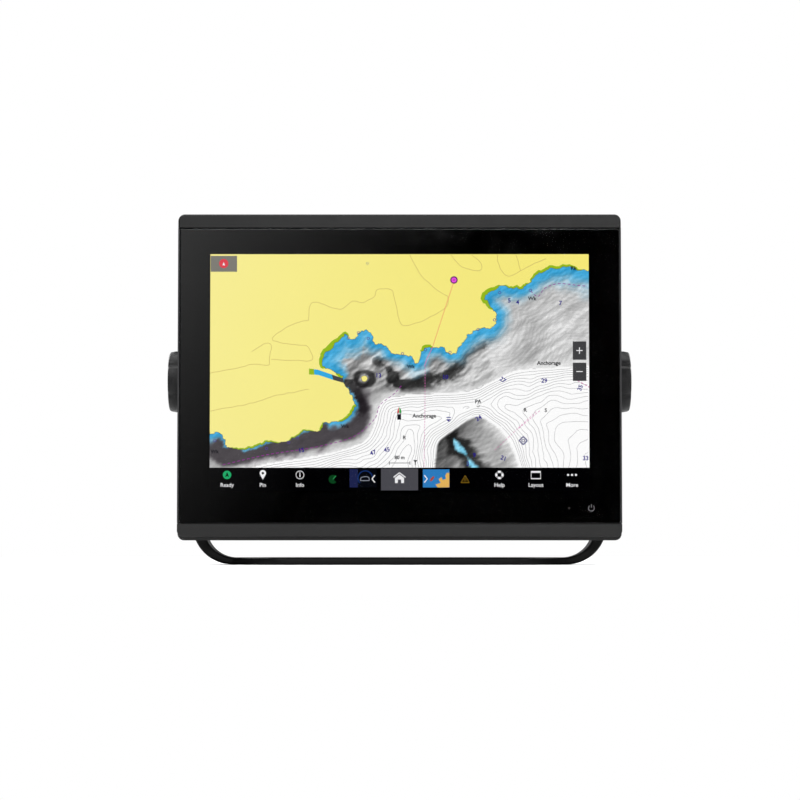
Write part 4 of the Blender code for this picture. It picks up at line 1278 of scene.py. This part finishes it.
# %% Marks on the chart
figures = Drawing(6)
for text, u, v, angle in (
    ("27", 201.6, 60.4, -35), ("29", 230.2, 59.8, 0), ("24", 185, 34, 30), ("41", 164.5, 33.5, 90),
    ("47", 112.3, 10.2, 20), ("45", 121.8, 12.2, 10), ("35", 255, 55, 70), ("33", 258.5, 6.4, 0),
    ("10", 162, 62.3, 0), ("13", 116, 63.4, 0), ("7", 241.5, 113.4, 0), ("5", 206.3, 115.2, 0),
    ("21", 202, 6.4, -20), ("9", 182, 8.5, 0), ("3", 177.5, 2.6, 0), ("15", 63, 11.8, 10), ("4", 212, 114, 0),
):
    figures.words(text, u, v, 4.1, angle, 0.028)
figures.make("chart_figures", lit("figure violet", 40, 28, 132))

signs = Drawing(6)
for text, u, v, size in (
    ("R", 217, 39.6, 3.6), ("S", 231.2, 39.4, 3.6), ("R", 133.8, 20.6, 3.6), ("Wk", 222, 116.6, 3.6),
    ("Rk", 250.6, 137.6, 3.6), ("Wk", 93, 28.4, 3.6), ("Wk", 3.4, 11, 3.6), ("Wk", 138.4, 69.5, 3.4),
    ("Anchorage", 147.6, 35.6, 3.7), ("Anchorage", 233.4, 72.0, 3.7), ("PA", 184.6, 45.4, 3.6),
):
    signs.words(text, u, v, size, weight=0.028)
# the scale bar with its figure, a light's mark, the boat's hull, and a wreck's tick
signs.line([(123.5, 3.2), (137.7, 3.2)], 0.42)
for u in (123.5, 137.7):
    signs.line([(u, 2.0), (u, 4.4)], 0.42)
signs.words("80 m", 130.6, 6.9, 3.4, weight=0.03)
signs.plate([(140.2, 5.2), (142.6, 5.2), (142.6, 4.7), (141.7, 3.9),
             (141.7, 1.8), (141.1, 1.8), (141.1, 3.9), (140.2, 4.7)])
signs.bar(129.0, 33.0, 131.6, 38.6)
signs.line([(183.6, 42.6), (184.6, 41.6), (185.8, 42.6)], 0.45)
signs.make("chart_signs", lit("sign black", 24, 24, 30))
Drawing(7).bar(129.4, 36.7, 131.2, 38.5).make("boat_cabin", lit("cabin grey", 206, 206, 208))

# %% Routes and the waypoint
WAYPOINT = (168.1, 129.5)
route = Drawing(6).line([(167.6, 127.0), (161, 107), (153.6, 84)], 0.42)
route.make("chart_route", lit("route coral", 238, 150, 108))
crossing = Drawing(6).line([(153.6, 83.6), (149.8, 76), (147.6, 70)], 0.42)
for way, width, dash, space in (
    ([(148.2, 70), (148.0, 40), (147.4, 0)], 0.42, 1.0, 0.9), ([(212.4, 27), (228, 40)], 0.34, 1.6, 0.9),
    ([(196, 12), (212, 27), (226, 40)], 0.30, 1.6, 0.9), ([(253, 60), (262, 55)], 0.5, 1.8, 1.0),
):
    crossing.dashes(way, width, dash, space)
crossing.make("chart_crossing", lit("crossing pink", 206, 104, 170))
limits = Drawing(5)
for way in ([(9, 2), (40, 9), (72, 14), (98, 21), (113, 33), (117, 43), (127, 51), (133, 58)],
            [(221, 122), (226, 118), (231, 124), (240, 127), (252, 126), (262, 125)]):
    limits.dashes(smooth_through(way, 6), 0.46, 2.0, 1.4)
limits.make("chart_limits", lit("limit violet", 150, 46, 150))
rocks = Drawing(7)
for u, v in ((95.2, 89.3), (102.3, 93.0), (109, 89), (132.6, 78.5), (148.4, 81.3), (165.3, 79.4),
             (184.6, 95.2), (196, 101.9), (199.7, 120.7), (220.8, 122.4), (60.3, 20.5), (54.3, 17.4),
             (39.1, 13.2), (3.5, 18.6)):
    rocks.circle_line(u, v, 0.85, 0.38, 14)
rocks.make("chart_rocks", lit("rock violet", 84, 66, 150))
Drawing(7).disc(*WAYPOINT, 2.1).make("waypoint", lit("waypoint magenta", 250, 92, 240))
ring = Drawing(8).circle_line(*WAYPOINT, 2.15, 0.85).circle_line(*WAYPOINT, 0.7, 0.35)
ring.make("waypoint_ring", lit("waypoint purple", 88, 20, 98))
Drawing(7).circle_line(108.4, 141.0, 0.75, 0.3).make("spring_mark", lit("spring grey", 150, 150, 132))

buoy = Drawing(7).outline([(215.6, 15.8), (218.4, 18.6), (215.6, 21.4), (212.8, 18.6)], 0.75)
buoy.circle_line(215.6, 18.6, 0.9, 0.45).make("chart_buoy", lit("buoy blue", 30, 26, 110))
port = Drawing(7).plate([(129.0, 37.6), (130.1, 37.6), (130.1, 41.8), (129.2, 39.8)])
port.make("boat_port_side", lit("port red", 206, 44, 34))
starboard = Drawing(7).plate([(130.4, 37.6), (131.9, 37.6), (131.6, 39.8), (130.4, 41.8)])
starboard.make("boat_starboard_side", lit("starboard green", 36, 160, 60))

# %% [markdown]
# ### Buttons and the menu bar
# The lower strip of the screen is a menu of plain signs with a word below each. Buttons that float on
# the map are dark squares with a light sign.

# %% Buttons on the map
buttons = Drawing(9).bar(249.9, 74.3, 259.2, 87.0).bar(249.9, 59.7, 259.2, 72.3)
buttons.make("zoom_buttons", lit("button grey", 66, 66, 68))
Drawing(9).bar(0.2, 135.2, 18.4, 146.2).make("status_tile", lit("tile grey", 122, 120, 112))
Drawing(10).disc(9.2, 140.9, 3.2).make("status_disc", lit("status red", 222, 60, 74))

# %% The menu bar
SIGNS_ROW, WORDS_ROW = -5.0, -12.0
PIN, INFO, HELP, LAYOUT, MORE, READY = 36.6, 62.1, 199.2, 224.2, 249.1, 12.0
Drawing(0).bar(0, -BAR_HEIGHT, MAP_WIDTH, -0.05).make("menu_bar", lit("menu black", 1, 1, 2))
Drawing(1).bar(117.8, -BAR_HEIGHT + 0.2, 143.3, -0.6).make("home_tile", lit("home grey", 74, 74, 80))

white = Drawing(10.9).plate([(8.3, 139.7), (10.1, 139.7), (9.2, 141.9)])
for v, plus in ((80.7, True), (66.2, False)):
    white.bar(252.3, v - 0.3, 256.7, v + 0.3)
    for low, high in ((-2.2, -0.31), (0.31, 2.2)) if plus else ():
        white.bar(254.2, v + low, 254.8, v + high)
white.make("button_signs", lit("button white", 236, 236, 238))

# pin with a hole, information, ring buoy, layout and dots
menu = Drawing(2)
head = arc(PIN, SIGNS_ROW + 1.2, 2.2, np.linspace(-0.55, math.pi + 0.55, 22))
menu.plate(head + [(PIN, SIGNS_ROW - 3.2)])
menu.circle_line(INFO, SIGNS_ROW, 2.7, 0.38).bar(61.75, SIGNS_ROW - 1.5, 62.45, SIGNS_ROW + 0.4)
menu.disc(INFO, SIGNS_ROW + 1.25, 0.42, 12)
for quarter in range(4):
    turn = np.linspace(quarter * math.pi / 2 + 0.30, (quarter + 1) * math.pi / 2 - 0.30, 8) + math.pi / 4
    menu.line(arc(HELP, SIGNS_ROW, 2.15, turn), 1.5)
    middle = (quarter + 1) * math.pi / 2 + math.pi / 4
    menu.line([arc(HELP, SIGNS_ROW, r, [middle])[0] for r in (1.5, 2.8)], 0.3)
menu.bar(220.9, SIGNS_ROW + 1.8, 227.6, SIGNS_ROW + 2.7)
pane = ((221.0, 1.6), (227.5, 1.6), (227.5, -2.4), (221.0, -2.4))
menu.outline([(u, SIGNS_ROW + v) for u, v in pane], 0.32)
menu.bar(220.9, SIGNS_ROW - 2.9, 227.6, SIGNS_ROW - 2.3)
for u in (246.4, MORE, 251.8):
    menu.disc(u, SIGNS_ROW, 0.75, 16)
# house, its roof line, and the chevrons beside it
menu.plate([(127.4, -10.6), (129.4, -10.6), (129.4, -8.2), (131.6, -8.2), (131.6, -10.6), (133.6, -10.6),
            (133.6, -7.0), (130.5, -4.6), (127.4, -7.0)])
menu.line([(126.4, -6.7), (130.5, -3.5), (134.6, -6.7)], 0.8)
menu.line([(113.6, -5.2), (111.6, -7.7), (113.6, -10.2)], 0.75)
menu.line([(147.6, -5.2), (149.6, -7.7), (147.6, -10.2)], 0.75)
for text, u in (("Ready", READY), ("Pin", PIN), ("Info", INFO), ("Help", HELP), ("Layout", LAYOUT),
                ("More", MORE)):
    menu.words(text, u, WORDS_ROW, 3.8, weight=0.008)
menu.make("menu_signs", lit("sign white", 240, 240, 242))
Drawing(2.9).disc(PIN, SIGNS_ROW + 1.2, 0.85, 16).make("pin_hole", lit("pin hole black", 4, 4, 5))

# %% Coloured signs on the menu bar
SWEEP = (84.8, -8.0)
Drawing(1).disc(READY, SIGNS_ROW, 2.9).make("ready_disc", lit("ready green", 32, 170, 104))
arrow = [(10.6, SIGNS_ROW - 1.5), (READY, SIGNS_ROW - 0.8), (13.4, SIGNS_ROW - 1.5), (READY, SIGNS_ROW + 2.0)]
Drawing(2).plate(arrow).make("ready_arrow", lit("arrow dark", 6, 40, 26))
sector = Drawing(1).plate([SWEEP] + arc(*SWEEP, 3.0, np.linspace(1.0, 5.6, 22)))
sector.make("sweep_sign", lit("sweep green", 10, 62, 28))
Drawing(2).line([SWEEP, (86.8, -5.6)], 0.5).make("sweep_beam", lit("beam green", 48, 150, 84))
alert = Drawing(1).outline([(172.8, -10.3), (178.4, -10.3), (175.6, -5.4)], 0.40)
alert.line([(175.0, -9.6), (175.3, -7.4)], 0.3).line([(176.2, -9.6), (175.9, -7.4)], 0.3)
alert.make("alert_sign", lit("alert amber", 132, 102, 24))

# %% Small pictures beside the home tile
Drawing(1).bar(96.2, -13.6, 114.8, -1.0).make("left_thumbnail", lit("thumbnail navy", 30, 36, 76))
Drawing(1.9).bar(101.8, -13.6, 114.8, -1.0).make("left_thumbnail_dark", lit("thumbnail black", 6, 8, 14))
glow_ring = Drawing(2.8).line(arc(107, -7.2, 5.0, np.linspace(0.2, 3.9, 24)), 0.8)
glow_ring.make("left_thumbnail_ring", lit("thumbnail ring", 22, 48, 104))
hull = smooth_through([(103.6, -8.9), (104.2, -6.9), (106.6, -6.2), (109.2, -6.6), (109.8, -8.6)], 5)
boat = Drawing(3.7).line(hull, 0.42).line([(103.6, -8.9), (109.8, -8.9)], 0.42)
boat.make("left_thumbnail_lines", lit("thumbnail line", 150, 156, 170))
Drawing(1).bar(146.6, -13.6, 164.8, -1.2).make("right_thumbnail", lit("thumbnail blue", 46, 124, 190))
sand = [(156.6, -13.6), (164.8, -13.6), (164.8, -3.4), (163.0, -3.6), (161.8, -5.6), (162.6, -7.6),
        (160.4, -8.6), (159.4, -6.4), (157.4, -8.0), (158.8, -10.4), (155.2, -11.6)]
Drawing(2).plate(roughen(sand, 0.2, 2.0)).make("right_thumbnail_land", lit("thumbnail sand", 226, 178, 92))
brick_boat = [(151.4, -9.4), (153.0, -9.0), (154.6, -6.6), (153.8, -5.8), (151.8, -7.6)]
Drawing(2).plate(brick_boat).make("right_thumbnail_boat", lit("thumbnail brick", 170, 74, 60))

# %% [markdown]
# ### Marks behind the glass
# The power key is a ring with a stroke, printed in light ink, and the light sensor is a faint dot
# beside it. They lie on the border, not on the screen.

# %% Printed marks
light_ink = layered("light ink", (0.20, 0.20, 0.21), (0.26, 0.26, 0.27), 0.5, 0.0008, (0.3, 0.7))
dim_ink = layered("dim ink", (0.012, 0.012, 0.014), (0.018, 0.018, 0.020), 0.5, 0.0008, (0.3, 0.7))
ON_BORDER = (PICTURE - GLASS_BACK - 0.00009) / LAYER
KEY_U, KEY_V, KEY_RING, STROKE, SENSOR_U = 262.3, -27.8, 2.0, 0.45, 247.0
power = Drawing(ON_BORDER)
power.line(arc(KEY_U, KEY_V, KEY_RING, np.linspace(math.radians(128), math.radians(412), 30)), STROKE)
power.line([(KEY_U, KEY_V + 0.4), (KEY_U, KEY_V + 2.7)], STROKE).make("power_mark", light_ink)
Drawing(ON_BORDER).disc(SENSOR_U, KEY_V, 0.9, 20).make("light_sensor_eye", dim_ink)

# %% [markdown]
# ## Studio
# The product stands on a pale floor under soft lamps: a broad one above and to the left, a weaker one
# on the right, one overhead and two behind that draw the edges. A small far lamp in front gives the
# matt plastic its even sheen. The floor fades out before its rim, so the glass mirrors no hard edge.
# Black glass shows only what it mirrors, so a faint card behind the camera, brighter on the left,
# gives the glass its soft gradient.

# %% Floor and surroundings
ground_mesh = bmesh.new()
bmesh.ops.create_circle(ground_mesh, cap_ends=True, segments=96, radius=1.1)
ground = object_of("pale_floor", ground_mesh)
ground.location = (0, 0, -0.0001)
pale = Finish("pale floor", Roughness=0.6, Specular_IOR_Level=0.2)
pale.feed("Base Color", pale.mix(pale.speckle(0.3), (0.90, 0.90, 0.90, 1), (0.93, 0.93, 0.93, 1)))
from_middle = pale.node("ShaderNodeVectorMath", {"operation": "LENGTH"}, {0: pale.place()}, out=1)
pale.feed("Alpha", 1 - from_middle.between(0.40, 1.08))
ground.data.materials.append(pale.material)

world = bpy.data.worlds.new("studio")
bpy.context.scene.world = world
world.use_nodes = True
tree = world.node_tree
room = tree.nodes["Background"]
room.inputs["Color"].default_value = (0.9, 0.95, 1.0, 1)
room.inputs["Strength"].default_value = 0.10
seen = tree.nodes.new("ShaderNodeBackground")
seen.inputs["Color"].default_value = (1, 1, 1, 1)
choose = tree.nodes.new("ShaderNodeMixShader")
tree.links.new(tree.nodes.new("ShaderNodeLightPath").outputs["Is Camera Ray"], choose.inputs[0])
tree.links.new(room.outputs[0], choose.inputs[1])
tree.links.new(seen.outputs[0], choose.inputs[2])
tree.links.new(choose.outputs[0], tree.nodes["World Output"].inputs["Surface"])


# %% Lamps
def lamp(name, place, size, power, target=(0, 0, 0.12)):
    data = bpy.data.lights.new(name, "AREA")
    data.shape, data.size, data.size_y, data.energy = "RECTANGLE", size[0], size[1], power
    made = bpy.data.objects.new(name, data)
    made.location = place
    made.rotation_euler = (Vector(target) - Vector(place)).to_track_quat("-Z", "Y").to_euler()
    made.visible_camera = False
    bpy.context.scene.collection.objects.link(made)


lamp("key lamp", (-1.1, -1.6, 1.9), (1.4, 1.0), 60)
lamp("fill lamp", (1.6, -1.2, 1.0), (1.0, 1.2), 24)
lamp("edge lamp", (0.27, -6.4, 1.45), (0.22, 0.6), 90)
lamp("top lamp", (0, 0.2, 2.2), (2.0, 1.4), 45)
lamp("back left lamp", (-1.3, 1.6, 1.2), (1.2, 1.2), 34)
lamp("back right lamp", (1.4, 1.5, 1.0), (1.2, 1.2), 34)

# %% A faint card for the glass to mirror
CARD_AT, GLASS_SHEEN, DARK_BELOW = -6.4, 0.45, 0.484
card_corners = ((-0.85, -0.10), (0.85, -0.10), (0.85, 1.20), (-0.85, 1.20))
card = shape("mirror card", [[(x, CARD_AT + back, z) for x, z in card_corners] for back in (0, -0.01)])
glow = Finish("card glow", Base_Color=(0, 0, 0, 1), Emission_Strength=1.0, Specular_IOR_Level=0.0)
up_and_left = {0: glow.place(), 1: (-1.10, 0, 0.76)}
fall = glow.node("ShaderNodeVectorMath", {"operation": "DOT_PRODUCT"}, up_and_left, out=1)
sheen = (fall - DARK_BELOW).at_least(0.0)
full = (GLASS_SHEEN, GLASS_SHEEN, GLASS_SHEEN, 1)
glow.feed("Emission Color", glow.mix(sheen * (0.25 + 0.75 * sheen), (0, 0, 0, 1), full))
card.data.materials.append(glow.material)
card.visible_camera = False
card.visible_shadow = False

# %% Camera
DISTANCE, EYE_HEIGHT, AIM, OFF_CENTRE, LENS = 1.80, 0.0147, 0.11316, 0.0003, 117.98
camera_data = bpy.data.cameras.new("camera")
camera_data.sensor_width, camera_data.lens = 36, LENS
camera = bpy.data.objects.new("camera", camera_data)
camera.location = (OFF_CENTRE, box_of("cover_glass")[1][0] - DISTANCE, EYE_HEIGHT)
camera.rotation_euler = (math.radians(90) + math.atan((AIM - EYE_HEIGHT) / DISTANCE), 0, 0)
bpy.context.scene.collection.objects.link(camera)
bpy.context.scene.camera = camera
bpy.context.scene.view_settings.view_transform = "Standard"
